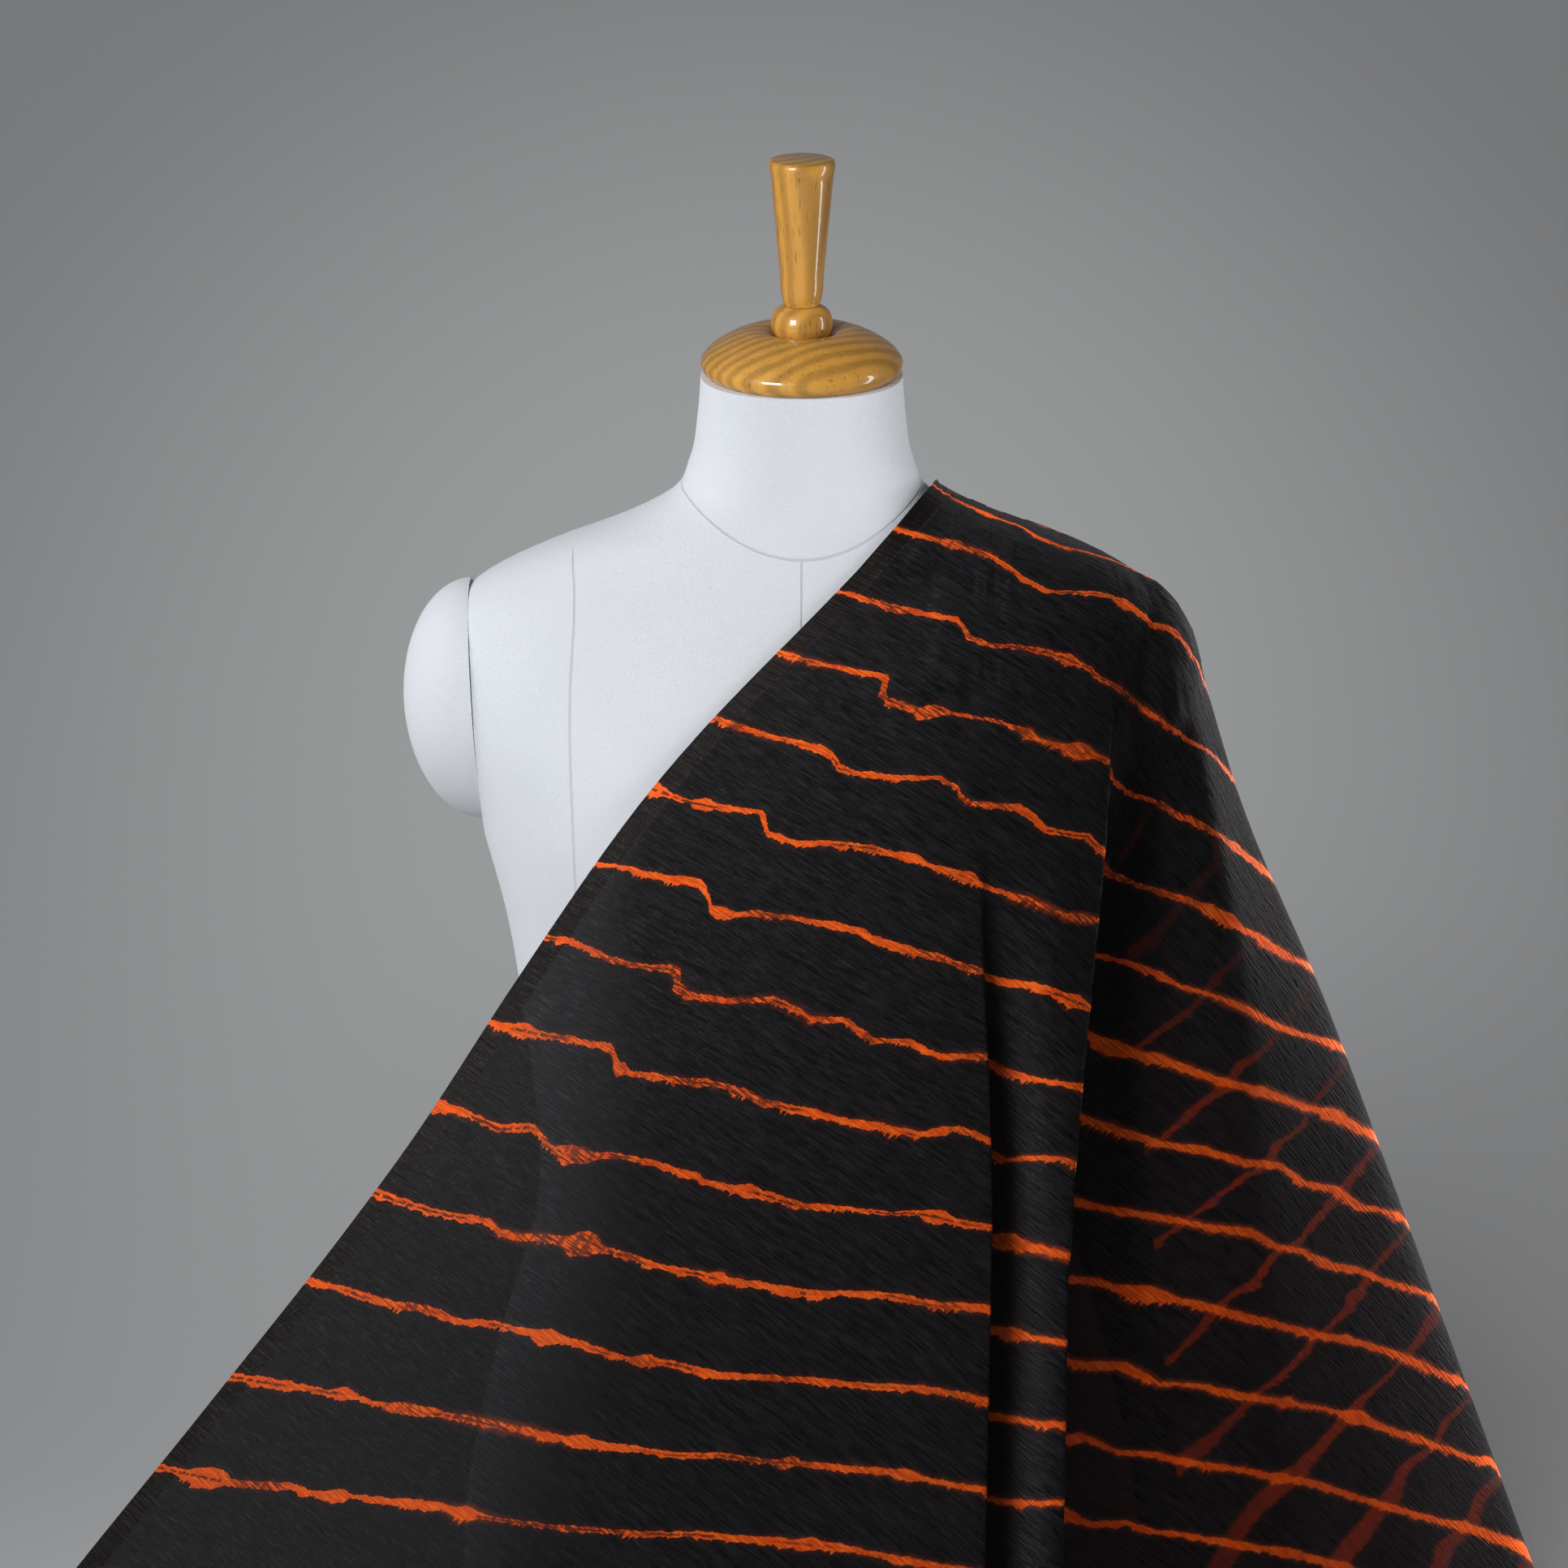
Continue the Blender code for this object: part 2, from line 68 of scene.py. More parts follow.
# Sizes that the CAD model has too. Of these and the tables of shape below, only the clearances, by
# about 1 mm, and the outer end of the ridge, by up to 6 mm, differ from its own.
CLOTH_THICKNESS = 0.0014
BODY_CLEARANCE = 0.0065
SHOULDER_CLEARANCE = 0.0028
PIECE_GAP = 0.0003
SHOULDER_LEAD = 0.055
HEM_ON_SURFACE = 0.034
SQUARENESS = 2.3
NECK_TILT = math.radians(10.7)
NECK_TOP = (0.0, -0.0130, 0.7187)
ARM_LEAN = math.radians(3.2)
ARM_CENTRE = (0.1667, 0.004, 0.5500)
ARM_SEMI = (0.0385, 0.0540, 0.0625)
BUST = {"x": 0.078, "z": 0.468, "out": 0.013, "wide": 0.045, "tall": 0.052}

# Level sections of the form: height, half width, depth forward and back, and how far the middle
# has moved along Y. The tilt is a share of the neck's own.
BODY_SECTIONS = (
    # height, half_width, front, back, middle_y, tilt
    (0.0000, 0.1750, 0.1060, 0.1250, 0.000, 0.0),
    (0.0600, 0.1790, 0.1080, 0.1290, 0.000, 0.0),
    (0.1180, 0.1780, 0.1080, 0.1270, 0.000, 0.0),
    (0.2000, 0.1620, 0.1020, 0.1070, 0.000, 0.0),
    (0.2940, 0.1375, 0.0920, 0.0870, 0.000, 0.0),
    (0.3800, 0.1440, 0.1020, 0.0880, 0.000, 0.0),
    (0.4400, 0.1530, 0.1130, 0.0940, 0.000, 0.0),
    (0.4890, 0.1660, 0.1160, 0.0990, 0.000, 0.0),
    (0.5400, 0.1790, 0.1090, 0.1010, 0.000, 0.0),
    (0.5800, 0.1830, 0.0940, 0.0970, 0.002, 0.0),
    (0.6000, 0.1790, 0.0840, 0.0890, 0.003, 0.0),
    (0.6170, 0.1600, 0.0750, 0.0790, 0.004, 0.0),
    (0.6330, 0.1260, 0.0680, 0.0680, 0.003, 0.0),
    (0.6460, 0.0900, 0.0600, 0.0600, 0.001, 0.1),
    (0.6580, 0.0665, 0.0555, 0.0560, -0.002, 0.3),
    (0.6740, 0.0575, 0.0530, 0.0530, -0.005, 0.6),
    (0.6980, 0.0530, 0.0510, 0.0510, -0.009, 0.9),
    (0.7187, 0.0512, 0.0500, 0.0500, -0.013, 1.0),
)

# The line over the shoulder that the cloth hangs from, as seen from the front
RIDGE = (
    # share, x, z
    (0.00, 0.0700, 0.6618),
    (0.18, 0.0860, 0.6520),
    (0.36, 0.1060, 0.6437),
    (0.58, 0.1320, 0.6342),
    (0.74, 0.1500, 0.6268),
    (0.88, 0.1690, 0.6180),
    (1.00, 0.1830, 0.6095),
)

# Where each pulled line meets the surface. turn is 0 at the front selvedge, 1 at the side fold and
# 2 at the back selvedge. share is the place on the ridge that the line starts from.
FRONT_LINES = (
    # turn, share, floor_x, floor_y
    (0.00, 0.00, -0.480, -0.328),
    (0.25, 0.09, -0.250, -0.335),
    (0.50, 0.21, -0.020, -0.320),
    (0.62, 0.31, 0.080, -0.298),
    (0.72, 0.77, 0.130, -0.280),
    (0.85, 0.93, 0.286, -0.142),
    (0.95, 0.985, 0.398, -0.034),
    (1.00, 1.00, 0.440, 0.012),
)
BACK_LINES = (
    # turn, floor_x, floor_y
    (1.00, 0.440, 0.012),
    (1.05, 0.404, 0.042),
    (1.15, 0.342, 0.092),
    (1.28, 0.272, 0.135),
    (1.38, 0.222, 0.165),
    (1.50, 0.176, 0.196),
    (1.75, 0.096, 0.226),
    (2.00, 0.022, 0.236),
)

# Tucks, where the cloth steps back behind an edge: step is the width of that edge and tail how far
# round the cloth the step lasts. lean moves the edge round near the shoulder, slide pulls its lip
# along, and the depth grows between the shares of the way down given as start and full.
TUCKS = (
    # turn, lean, step, tail, depth, slide, start, full
    (0.622, -0.022, 0.012, 0.085, 0.032, 0.006, 0.28, 0.52),
    (0.700, 0.036, 0.014, 0.150, 0.044, 0.006, 0.02, 0.26),
)
LIP_WIDTH_IN_STEPS = 1.5

# The shares of the way down between which a leaning tuck straightens, and how shallow the tucks get
# near the foot
TUCK_STRAIGHT = (0.10, 0.60)
TUCK_FOOT = {"from": 0.80, "left": 0.45}

# Soft folds: out is towards the outside of the cloth, and each grows from the share of the way down
# given as start
FOLDS = (
    # turn, half_width, out, start
    (0.400, 0.090, 0.005, 0.45),
    (0.676, 0.022, 0.010, 0.12),
    (0.900, 0.040, 0.006, 0.50),
    (1.200, 0.060, 0.010, 0.30),
    (1.340, 0.042, -0.034, 0.20),
    (1.470, 0.055, 0.016, 0.25),
    (1.620, 0.050, -0.018, 0.30),
    (1.770, 0.060, 0.014, 0.30),
    (1.900, 0.045, -0.010, 0.35),
)

# Soft hollows of a limited length, given by the share of the way down at their middle
HOLLOWS = (
    # turn, half_width, down, half_length, out
    (1.000, 0.150, 0.200, 0.110, -0.0060),
)

# How far the first edge swings sideways on its way down, as it leaves the chest and hangs. The swing
# fades out by the last turn given.
SWAY = (
    # down, sideways
    (0.00, -0.0020),
    (0.15, -0.0006),
    (0.28, -0.0084),
    (0.39, -0.0030),
    (0.50, 0.0072),
    (0.66, 0.0052),
    (0.76, 0.0010),
    (1.00, 0.0000),
)
SWAY_LAST_TURN = 0.30

# The crest where the form's side holds the front panel out: its height, its reach to either side,
# the heights that it grows between, and the last turn that it reaches
FLANK = {"out": 0.011, "left": 0.200, "right": 0.090, "top": 0.44, "full": 0.32,
         "last_turn": 0.55, "fade": 0.10}

# A point of the cloth nearer to the form than this share of the clearance moves out in small steps
CLEAR_SHARE = 0.8
CLEAR_STEP = 0.001
CLEAR_MOVES = 60

# The turn that the flat shape is darted along, and the turns of the pleat that hides the dart
DARTED_TURN = 1.34
PLEAT = {"from": 1.325, "to": 1.520, "fade": 0.030}

# How finely the cloth is made: lines round it, rows down it, points along the strings that lead to
# it, and the rounds of evening out that each of them gets
FRONT_TURNS = (
    # from, to, steps
    (0.00, 0.58, 30),
    (0.58, 0.76, 56),
    (0.76, 1.00, 26),
)
ROWS_DOWN = 84
PATH_POINTS = 240
PATH_ROUNDS = 160
DROP_STEPS = 90
OUT_STEP = 0.002
STRING_POINTS = 200
FINE_POINTS = 168
FINE_ROUNDS = 63
GRID_ROUNDS = 20

# The hem: rows laid on the surface, rows above it that its heading comes from, the pull away from
# the form's middle, and the rounds of evening out
HEM_ROWS = 5
HEM_RUN_ROWS = 7
HEM_OUTWARD_PULL = 1.6
HEM_ROUNDS = 40

# Profiles of the turned pieces, from the top down, as radius and height
NECK_CAP_PROFILE = ((0.0095, 0.0145), (0.0135, 0.0180), (0.0180, 0.0218), (0.0240, 0.0226),
                    (0.0330, 0.0205), (0.0420, 0.0160), (0.0485, 0.0110), (0.0513, 0.0065),
                    (0.0508, 0.0030), (0.0485, 0.0000))
BALL_PROFILE = ((0.0098, 0.0205), (0.0135, 0.0178), (0.0154, 0.0135), (0.0156, 0.0100),
                (0.0142, 0.0055), (0.0115, 0.0018), (0.0090, 0.0000))
HANDLE_PROFILE = ((0.0150, 0.0742), (0.0161, 0.0738), (0.0165, 0.0726), (0.0158, 0.0650),
                  (0.0138, 0.0430), (0.0112, 0.0160), (0.0100, 0.0030), (0.0090, 0.0000))
WOOD_TINT = (0.62, 0.305, 0.052)

# The course of the princess seams: height / PRINCESS_HEIGHT, distance from the middle / PRINCESS_WIDTH
PRINCESS_HEIGHT = 0.8
PRINCESS_WIDTH = 0.33
PRINCESS_SEAM = (
    (0.0, 0.355), (0.10, 0.365), (0.20, 0.330), (0.35, 0.255), (0.45, 0.285), (0.55, 0.335),
    (0.62, 0.345), (0.70, 0.350), (0.76, 0.345), (0.79, 0.350), (1.0, 0.350))

# The canvas threads' sine, in radians for each metre
THREADS_TURN = 5200.0

# How finely the form is made, and the angles from which an edge stays sharp
TORSO_LEVELS = 190
TORSO_POINTS = 200
PROFILE_POINTS = 60
LATHE_STEPS = 96
FORM_SHARP_ANGLE = math.radians(50)
WOOD_SHARP_ANGLE = math.radians(60)

# The pattern: how many dyed lines are passed on the way from the top of the selvedge to each of
# twelve places on the flat cloth, across from the selvedge and down along it in metres
LINES_DOWN = (0.0, 0.3, 0.6)
LINES_PASSED = (
    # across, lines at each place down
    (0.00, -1.50, 4.95, 10.40),
    (0.25, 0.60, 6.80, 13.40),
    (0.50, 3.75, 9.65, 17.50),
    (0.75, 6.60, 12.20, 21.20),
)
LINE_SPACING = 0.045
SELVEDGE_BAND = 0.012

# The columns in which the lines step down, across the width that the table covers
STEP_WIDTH = 0.9
STEPS = (
    # across / STEP_WIDTH, offset in lines + 0.5
    (0.000, 0.45),
    (0.030, 0.40),
    (0.058, 0.34),
    (0.064, 0.42),
    (0.070, 0.58),
    (0.082, 0.61),
    (0.094, 0.51),
    (0.115, 0.44),
    (0.136, 0.43),
    (0.142, 0.50),
    (0.170, 0.53),
    (0.205, 0.60),
    (0.225, 0.57),
    (0.245, 0.49),
    (0.275, 0.52),
    (0.315, 0.46),
    (0.340, 0.54),
    (0.400, 0.56),
    (0.440, 0.47),
    (0.500, 0.50),
    (0.560, 0.53),
    (0.610, 0.46),
    (0.700, 0.52),
    (0.780, 0.48),
    (1.000, 0.50),
)


def smooth_columns(table, at):
    """The table's columns at the values given of its first one, on curves through its rows."""
    rows = np.array(table, float)
    x, y = rows[:, 0], rows[:, 1:]
    slope = np.gradient(y, x, axis=0)
    at = np.clip(np.asarray(at, float), x[0], x[-1])
    i = np.clip(np.searchsorted(x, at, side="right") - 1, 0, len(x) - 2)
    width = (x[i + 1] - x[i])[..., None]
    u = (at - x[i])[..., None] / width
    return (
        (2 * u**3 - 3 * u**2 + 1) * y[i]
        + (u**3 - 2 * u**2 + u) * width * slope[i]
        + (3 * u**2 - 2 * u**3) * y[i + 1]
        + (u**3 - u**2) * width * slope[i + 1]
    )


def smooth_step(x):
    """0 up to 0 and 1 from 1, smooth between them."""
    x = np.clip(x, 0.0, 1.0)
    return x * x * (3 - 2 * x)


# The form's shape


def bust_out(x, z):
    """How far the front stands forward at the bust."""
    across = (np.abs(x) - BUST["x"]) / BUST["wide"]
    upright = (z - BUST["z"]) / BUST["tall"]
    return BUST["out"] * np.exp(-(across**2) - upright**2)


def body_ring(height, points):
    """One closed section of the form, anticlockwise from +X, as points in space."""
    half_width, front, back, middle, tilt = smooth_columns(BODY_SECTIONS, height)
    turn = 2 * math.pi * np.arange(points) / points
    c, s = np.cos(turn), np.sin(turn)
    c = np.sign(c) * np.abs(c) ** (2 / SQUARENESS)
    s = np.sign(s) * np.abs(s) ** (2 / SQUARENESS)
    x = half_width * c
    y = np.where(s > 0, back, front) * s
    y = np.where(s < 0, y + bust_out(x, height) * s, y)
    lean = tilt * NECK_TILT
    return np.column_stack([x, middle + y * math.cos(lean), height + y * math.sin(lean)])


def arm_frame(side):
    """Places a piece on the leaning plane of an armhole, its +X pointing out of the body."""
    x, y, z = ARM_CENTRE
    facing = Matrix.Identity(4) if side > 0 else Matrix.Scale(-1, 4, (1, 0, 0))
    return facing @ Matrix.Translation((x, y, z)) @ Matrix.Rotation(ARM_LEAN, 4, "Y")


# The cloth's shape


def inside_body(x, y, z, share=1.0):
    """True where a point is inside the form grown by a share of the cloth's clearances."""
    clearance = share * BODY_CLEARANCE
    rise = share * SHOULDER_CLEARANCE
    lower = z - rise
    half_width, front, back, middle, _ = np.moveaxis(smooth_columns(BODY_SECTIONS, lower), -1, 0)
    depth = np.where(y > middle, back, front + bust_out(x, lower))
    across = np.abs(x) / (half_width + clearance)
    along = np.abs(y - middle) / (depth + clearance)
    in_torso = (across**SQUARENESS + along**SQUARENESS < 1) & (lower < NECK_TOP[2])
    centre = np.array(ARM_CENTRE)
    semi = np.array(ARM_SEMI) + rise
    ball = ((x - centre[0]) / semi[0]) ** 2 + ((y - centre[1]) / semi[1]) ** 2
    in_arm = ball + ((z - centre[2]) / semi[2]) ** 2 < 1
    return in_torso | in_arm


def plan_path(start, foot, facing):
    """The line's way seen from above: off the shoulder at right angles, then towards its foot."""
    start = np.array(start[:2])
    foot = np.array(foot[:2])
    lead = start + np.array((0.0, facing * SHOULDER_LEAD))
    corners = np.array((start, lead, foot))
    steps = np.concatenate([[0], np.cumsum(np.linalg.norm(np.diff(corners, axis=0), axis=1))])
    even = np.linspace(0, steps[-1], PATH_POINTS)
    path = np.column_stack([np.interp(even, steps, corners[:, k]) for k in range(2)])
    for _ in range(PATH_ROUNDS):
        path[1:-1] = (path[:-2] + path[1:-1] + path[2:]) / 3
    reach = np.concatenate([[0], np.cumsum(np.linalg.norm(np.diff(path, axis=0), axis=1))])
    return path, reach


def bends_in(a, b, c):
    """True where the middle one of three points lies on the body's side of the line past it."""
    return (b[0] - a[0]) * (c[1] - a[1]) - (b[1] - a[1]) * (c[0] - a[0]) >= 0


def taut_line(start, foot, facing):
    """A string pulled from start to foot over the form, along its way seen from above."""
    path, reach = plan_path(start, foot, facing)
    drops = np.linspace(0.0, start[2], DROP_STEPS)
    outs = np.arange(0.0, reach[-1], OUT_STEP)
    x = np.interp(outs, reach, path[:, 0])
    y = np.interp(outs, reach, path[:, 1])
    z = start[2] - drops
    held = inside_body(x[None, :] + 0 * z[:, None], y[None, :] + 0 * z[:, None], z[:, None] + 0 * x)
    points = [(0.0, start[2])]
    for row in range(len(drops)):
        hits = np.nonzero(held[row])[0]
        if len(hits):
            points.append((outs[hits[-1]], z[row]))
    points.append((reach[-1], foot[2]))
    chain = []
    for point in points:
        while len(chain) > 1 and bends_in(chain[-2], chain[-1], point):
            chain.pop()
        chain.append(point)
    out, height = np.array(chain).T
    dense = np.linspace(0, reach[-1], STRING_POINTS)
    x = np.interp(dense, reach, path[:, 0])
    y = np.interp(dense, reach, path[:, 1])
    return np.column_stack([x, y, np.interp(dense, out, height)])


def even_points(line, count):
    """count points at even steps along a line, softened a little."""
    steps = np.concatenate([[0], np.cumsum(np.linalg.norm(np.diff(line, axis=0), axis=1))])
    fine = np.linspace(0, steps[-1], FINE_POINTS)
    fine = np.column_stack([np.interp(fine, steps, line[:, k]) for k in range(3)])
    for _ in range(FINE_ROUNDS):
        fine[1:-1] = (fine[:-2] + 2 * fine[1:-1] + fine[2:]) / 4
    pick = np.linspace(0, len(fine) - 1, count)
    return np.column_stack([np.interp(pick, np.arange(len(fine)), fine[:, k]) for k in range(3)])


def front_turns():
    """The turns of the lines from the front selvedge to the side fold."""
    turns = [0.0]
    for start, end, steps in FRONT_TURNS:
        turns.extend(np.linspace(start, end, steps + 1)[1:])
    return np.array(turns)


def ruling_grid(turns_front):
    """The pulled lines before folding: one row of points for each turn, front then back."""
    share = smooth_columns(FRONT_LINES, turns_front)[:, 0]
    share[-1] = 1.0
    turns = np.concatenate([turns_front, 2.0 - turns_front[-2::-1]])
    shares = np.concatenate([share, share[-2::-1]])
    front_feet = smooth_columns(FRONT_LINES, turns_front)[:, 1:]
    back_feet = smooth_columns(BACK_LINES, turns[len(turns_front):])
    feet = np.vstack([front_feet, back_feet])
    ridge = smooth_columns(RIDGE, shares)
    grid = []
    for k in range(len(turns)):
        start = (ridge[k, 0], 0.0, ridge[k, 1])
        foot = (feet[k, 0], feet[k, 1], CLOTH_THICKNESS / 2)
        facing = (1.0 if turns[k] > 1 else -1.0) * (1.0 - shares[k] ** 2)
        grid.append(even_points(taut_line(start, foot, facing), ROWS_DOWN))
    return turns, np.array(grid)


def surface_frame(grid):
    """Unit vectors along the hoops, and out of the cloth, at each point of the grid."""
    along = np.gradient(grid, axis=0)
    down = np.gradient(grid, axis=1)
    along /= np.linalg.norm(along, axis=2, keepdims=True) + 1e-12
    out = np.cross(down, along)
    out /= np.linalg.norm(out, axis=2, keepdims=True) + 1e-12
    return along, out


def fold_cloth(turns, grid):
    """Adds the tucks and soft folds, which grow down the cloth."""
    along, out = surface_frame(grid)
    down = np.linspace(0, 1, grid.shape[1])
    push = np.zeros(grid.shape[:2])
    slide_by = np.zeros(grid.shape[:2])
    settled = smooth_step((down - TUCK_FOOT["from"]) / (1 - TUCK_FOOT["from"]))
    shallow = 1 - (1 - TUCK_FOOT["left"]) * settled
    for turn, lean, step, tail, depth, slide, start, full in TUCKS:
        grow = (shallow * smooth_step((down - start) / (full - start)))[None, :]
        settle = smooth_step((down - TUCK_STRAIGHT[0]) / (TUCK_STRAIGHT[1] - TUCK_STRAIGHT[0]))
        past = turns[:, None] - (turn + lean * (1 - settle))[None, :]
        edge = smooth_step(past / step + 0.5)
        back = 1 - smooth_step(past / tail)
        push -= depth * edge * back * grow
        lip = np.exp(-(((past + step) / (LIP_WIDTH_IN_STEPS * step)) ** 2))
        slide_by += slide * lip * grow
    for turn, half_width, outward, start in FOLDS:
        bump = np.exp(-(((turns - turn) / half_width) ** 2))[:, None]
        grow = smooth_step((down - start) / (1 - start))[None, :]
        push += outward * bump * grow
    for turn, half_width, place, half_length, outward in HOLLOWS:
        across = np.exp(-(((turns - turn) / half_width) ** 2))[:, None]
        push += outward * across * np.exp(-(((down - place) / half_length) ** 2))[None, :]
    push += flank_push(turns, grid)
    moved = grid + push[..., None] * out + slide_by[..., None] * along
    near_selvedge = 1 - smooth_step(turns / SWAY_LAST_TURN)
    moved[..., 0] += near_selvedge[:, None] * smooth_columns(SWAY, down)[:, 0]
    moved[:, -1, 2] = grid[:, -1, 2]
    return keep_clear(moved, out)


def flank_push(turns, grid):
    """How far the form's side holds the front panel out, on a soft crest down the waist and hip."""
    x, z = grid[..., 0], grid[..., 2]
    past = x + smooth_columns(BODY_SECTIONS, z)[..., 0]
    width = np.where(past < 0, FLANK["left"], FLANK["right"])
    grow = smooth_step((FLANK["top"] - z) / (FLANK["top"] - FLANK["full"]))
    front = smooth_step((FLANK["last_turn"] - turns) / FLANK["fade"])[:, None]
    return FLANK["out"] * np.exp(-((past / width) ** 2)) * grow * front


def keep_clear(grid, out):
    """Moves any point that has sunk into the form back out of it, a little at a time."""
    for _ in range(CLEAR_MOVES):
        held = inside_body(grid[..., 0], grid[..., 1], grid[..., 2], CLEAR_SHARE)
        if not held.any():
            break
        grid = grid + CLEAR_STEP * held[..., None] * out
    return grid


def add_hem(grid):
    """Lays the last of the cloth flat on the surface, outwards from each line's foot."""
    foot = grid[:, -1]
    run = foot - grid[:, -1 - HEM_RUN_ROWS]
    run[:, 2] = 0
    away = foot * (1.0, 1.0, 0.0)
    heading = run / np.linalg.norm(run, axis=1, keepdims=True)
    heading += HEM_OUTWARD_PULL * away / np.linalg.norm(away, axis=1, keepdims=True)
    for _ in range(HEM_ROUNDS):
        heading[1:-1] = (heading[:-2] + heading[1:-1] + heading[2:]) / 3
    heading /= np.linalg.norm(heading, axis=1, keepdims=True)
    reaches = np.linspace(0, HEM_ON_SURFACE, HEM_ROWS + 1)[1:]
    rows = [foot + heading * reach for reach in reaches]
    return np.concatenate([grid, np.stack(rows, axis=1)], axis=1)


def cloth_mesh():
    """The draped cloth as a mesh, with its turns, its grid and each grid place's vertex."""
    turns, grid = ruling_grid(front_turns())
    for _ in range(GRID_ROUNDS):
        grid[1:-1, 1:-1] += 0.25 * (grid[:-2, 1:-1] + grid[2:, 1:-1] - 2 * grid[1:-1, 1:-1])
    grid = add_hem(fold_cloth(turns, grid))
    lines, rows = grid.shape[:2]
    middle = lines // 2
    index = np.arange(lines * rows).reshape(lines, rows)
    for i in range(middle + 1, lines):
        index[i, 0] = index[lines - 1 - i, 0]
    points = grid.reshape(-1, 3)
    used, packed = np.unique(index, return_inverse=True)
    packed = packed.reshape(lines, rows)
    quads = np.stack([packed[:-1, :-1], packed[:-1, 1:], packed[1:, 1:], packed[1:, :-1]], axis=-1)
    mesh = bpy.data.meshes.new("leheriya_cloth")
    mesh.from_pydata(points[used].tolist(), [], quads.reshape(-1, 4).tolist())
    mesh.update()
    return mesh, turns, grid, packed


def unroll(cloth, turns, grid, packed):
    """Gives the cloth a map in metres of its flat shape: across from the selvedge, and down it."""
    mesh = cloth.data
    dart = int(np.argmin(np.abs(turns - DARTED_TURN)))
    in_dart = set(packed[dart, 1:].tolist()) | {int(packed[dart, 0])}
    for edge in mesh.edges:
        a, b = edge.vertices
        if a in in_dart and b in in_dart:
            edge.use_seam = True
    bpy.context.view_layer.objects.active = cloth
    cloth.select_set(True)
    mesh.uv_layers.new(name="flat")
    bpy.ops.object.mode_set(mode="EDIT")
    bpy.ops.mesh.select_all(action="SELECT")
    bpy.ops.uv.unwrap(method="MINIMUM_STRETCH", margin=0.0, iterations=30)
    bpy.ops.object.mode_set(mode="OBJECT")
    cloth.select_set(False)
    layer = mesh.uv_layers["flat"]
    flat = np.empty(len(mesh.loops) * 2)
    layer.data.foreach_get("uv", flat)
    flat = flat.reshape(-1, 2)
    loops = np.empty(len(mesh.loops), int)
    mesh.loops.foreach_get("vertex_index", loops)
    quads = flat.reshape(-1, 4, 2)
    ring = np.roll(quads, -1, axis=1)
    signed = 0.5 * (quads[..., 0] * ring[..., 1] - ring[..., 0] * quads[..., 1]).sum(axis=1).sum()
    area = sum(face.area for face in mesh.polygons)
    flat *= math.sqrt(area / abs(signed))
    if signed < 0:
        flat[:, 0] *= -1
    spot = {}
    for loop, vertex in enumerate(loops):
        spot.setdefault(int(vertex), loop)
    top = flat[spot[int(packed[0, 0])]]
    edge = np.array([flat[spot[int(v)]] for v in packed[0, :]])
    run = edge[-1] - edge[0]
    run /= np.linalg.norm(run)
    across = np.array((-run[1], run[0]))
    inner = flat[spot[int(packed[len(turns) // 4, -1])]]
    if (inner - top) @ across < 0:
        across = -across
    moved = np.column_stack([(flat - top) @ across, (flat - top) @ run])
    size = cut_size(moved)
    straight = np.column_stack([(edge - top) @ across, (edge - top) @ run])
    moved[:, 0] -= np.interp(moved[:, 1], straight[:, 1], straight[:, 0])
    layer.data.foreach_set("uv", moved.ravel())
    return area, size


def cut_size(flat):
    """The sides of the smallest rectangle of cloth that the flat shape is cut from."""
    sides = []
    for turn in np.radians(np.arange(0, 90, 1.5)):
        c, s = math.cos(turn), math.sin(turn)
        turned = flat @ np.array(((c, -s), (s, c)))
        sides.append(turned.max(axis=0) - turned.min(axis=0))
    return min(sides, key=lambda side: side[0] * side[1])


def edge_distance(mesh, grid, packed):
    """How far each point lies from the nearer selvedge, measured round the cloth, in metres."""
    steps = np.linalg.norm(np.diff(grid, axis=0), axis=2)
    front = np.vstack([np.zeros(grid.shape[1]), np.cumsum(steps, axis=0)])
    back = front[-1] - front
    near = np.minimum(front, back)
    values = np.full(len(mesh.vertices), 1.0)
    np.minimum.at(values, packed.ravel(), near.ravel())
    layer = mesh.attributes.new("from_selvedge", "FLOAT", "POINT")
    layer.data.foreach_set("value", values)


def mark_pleat(mesh, turns, packed):
    """How deep each point lies in the back pleat, from 0 to 1."""
    opening = smooth_step((turns - PLEAT["from"]) / PLEAT["fade"])
    inside = opening * smooth_step((PLEAT["to"] - turns) / PLEAT["fade"])
    values = np.zeros(len(mesh.vertices))
    np.maximum.at(values, packed.ravel(), np.repeat(inside, packed.shape[1]))
    layer = mesh.attributes.new("in_pleat", "FLOAT", "POINT")
    layer.data.foreach_set("value", values)


# Node trees, written as sums


class Wire:
    """A number in a node tree that can be added, multiplied and so on."""

    def __init__(self, nodes, socket):
        self.nodes, self.socket = nodes, socket

    def __add__(self, other):
        return self.nodes.math("ADD", self, other)

    def __sub__(self, other):
        return self.nodes.math("SUBTRACT", self, other)

    def __rsub__(self, other):
        return self.nodes.math("SUBTRACT", other, self)

    def __mul__(self, other):
        return self.nodes.math("MULTIPLY", self, other)

    def __truediv__(self, other):
        return self.nodes.math("DIVIDE", self, other)

    __radd__ = __add__
    __rmul__ = __mul__


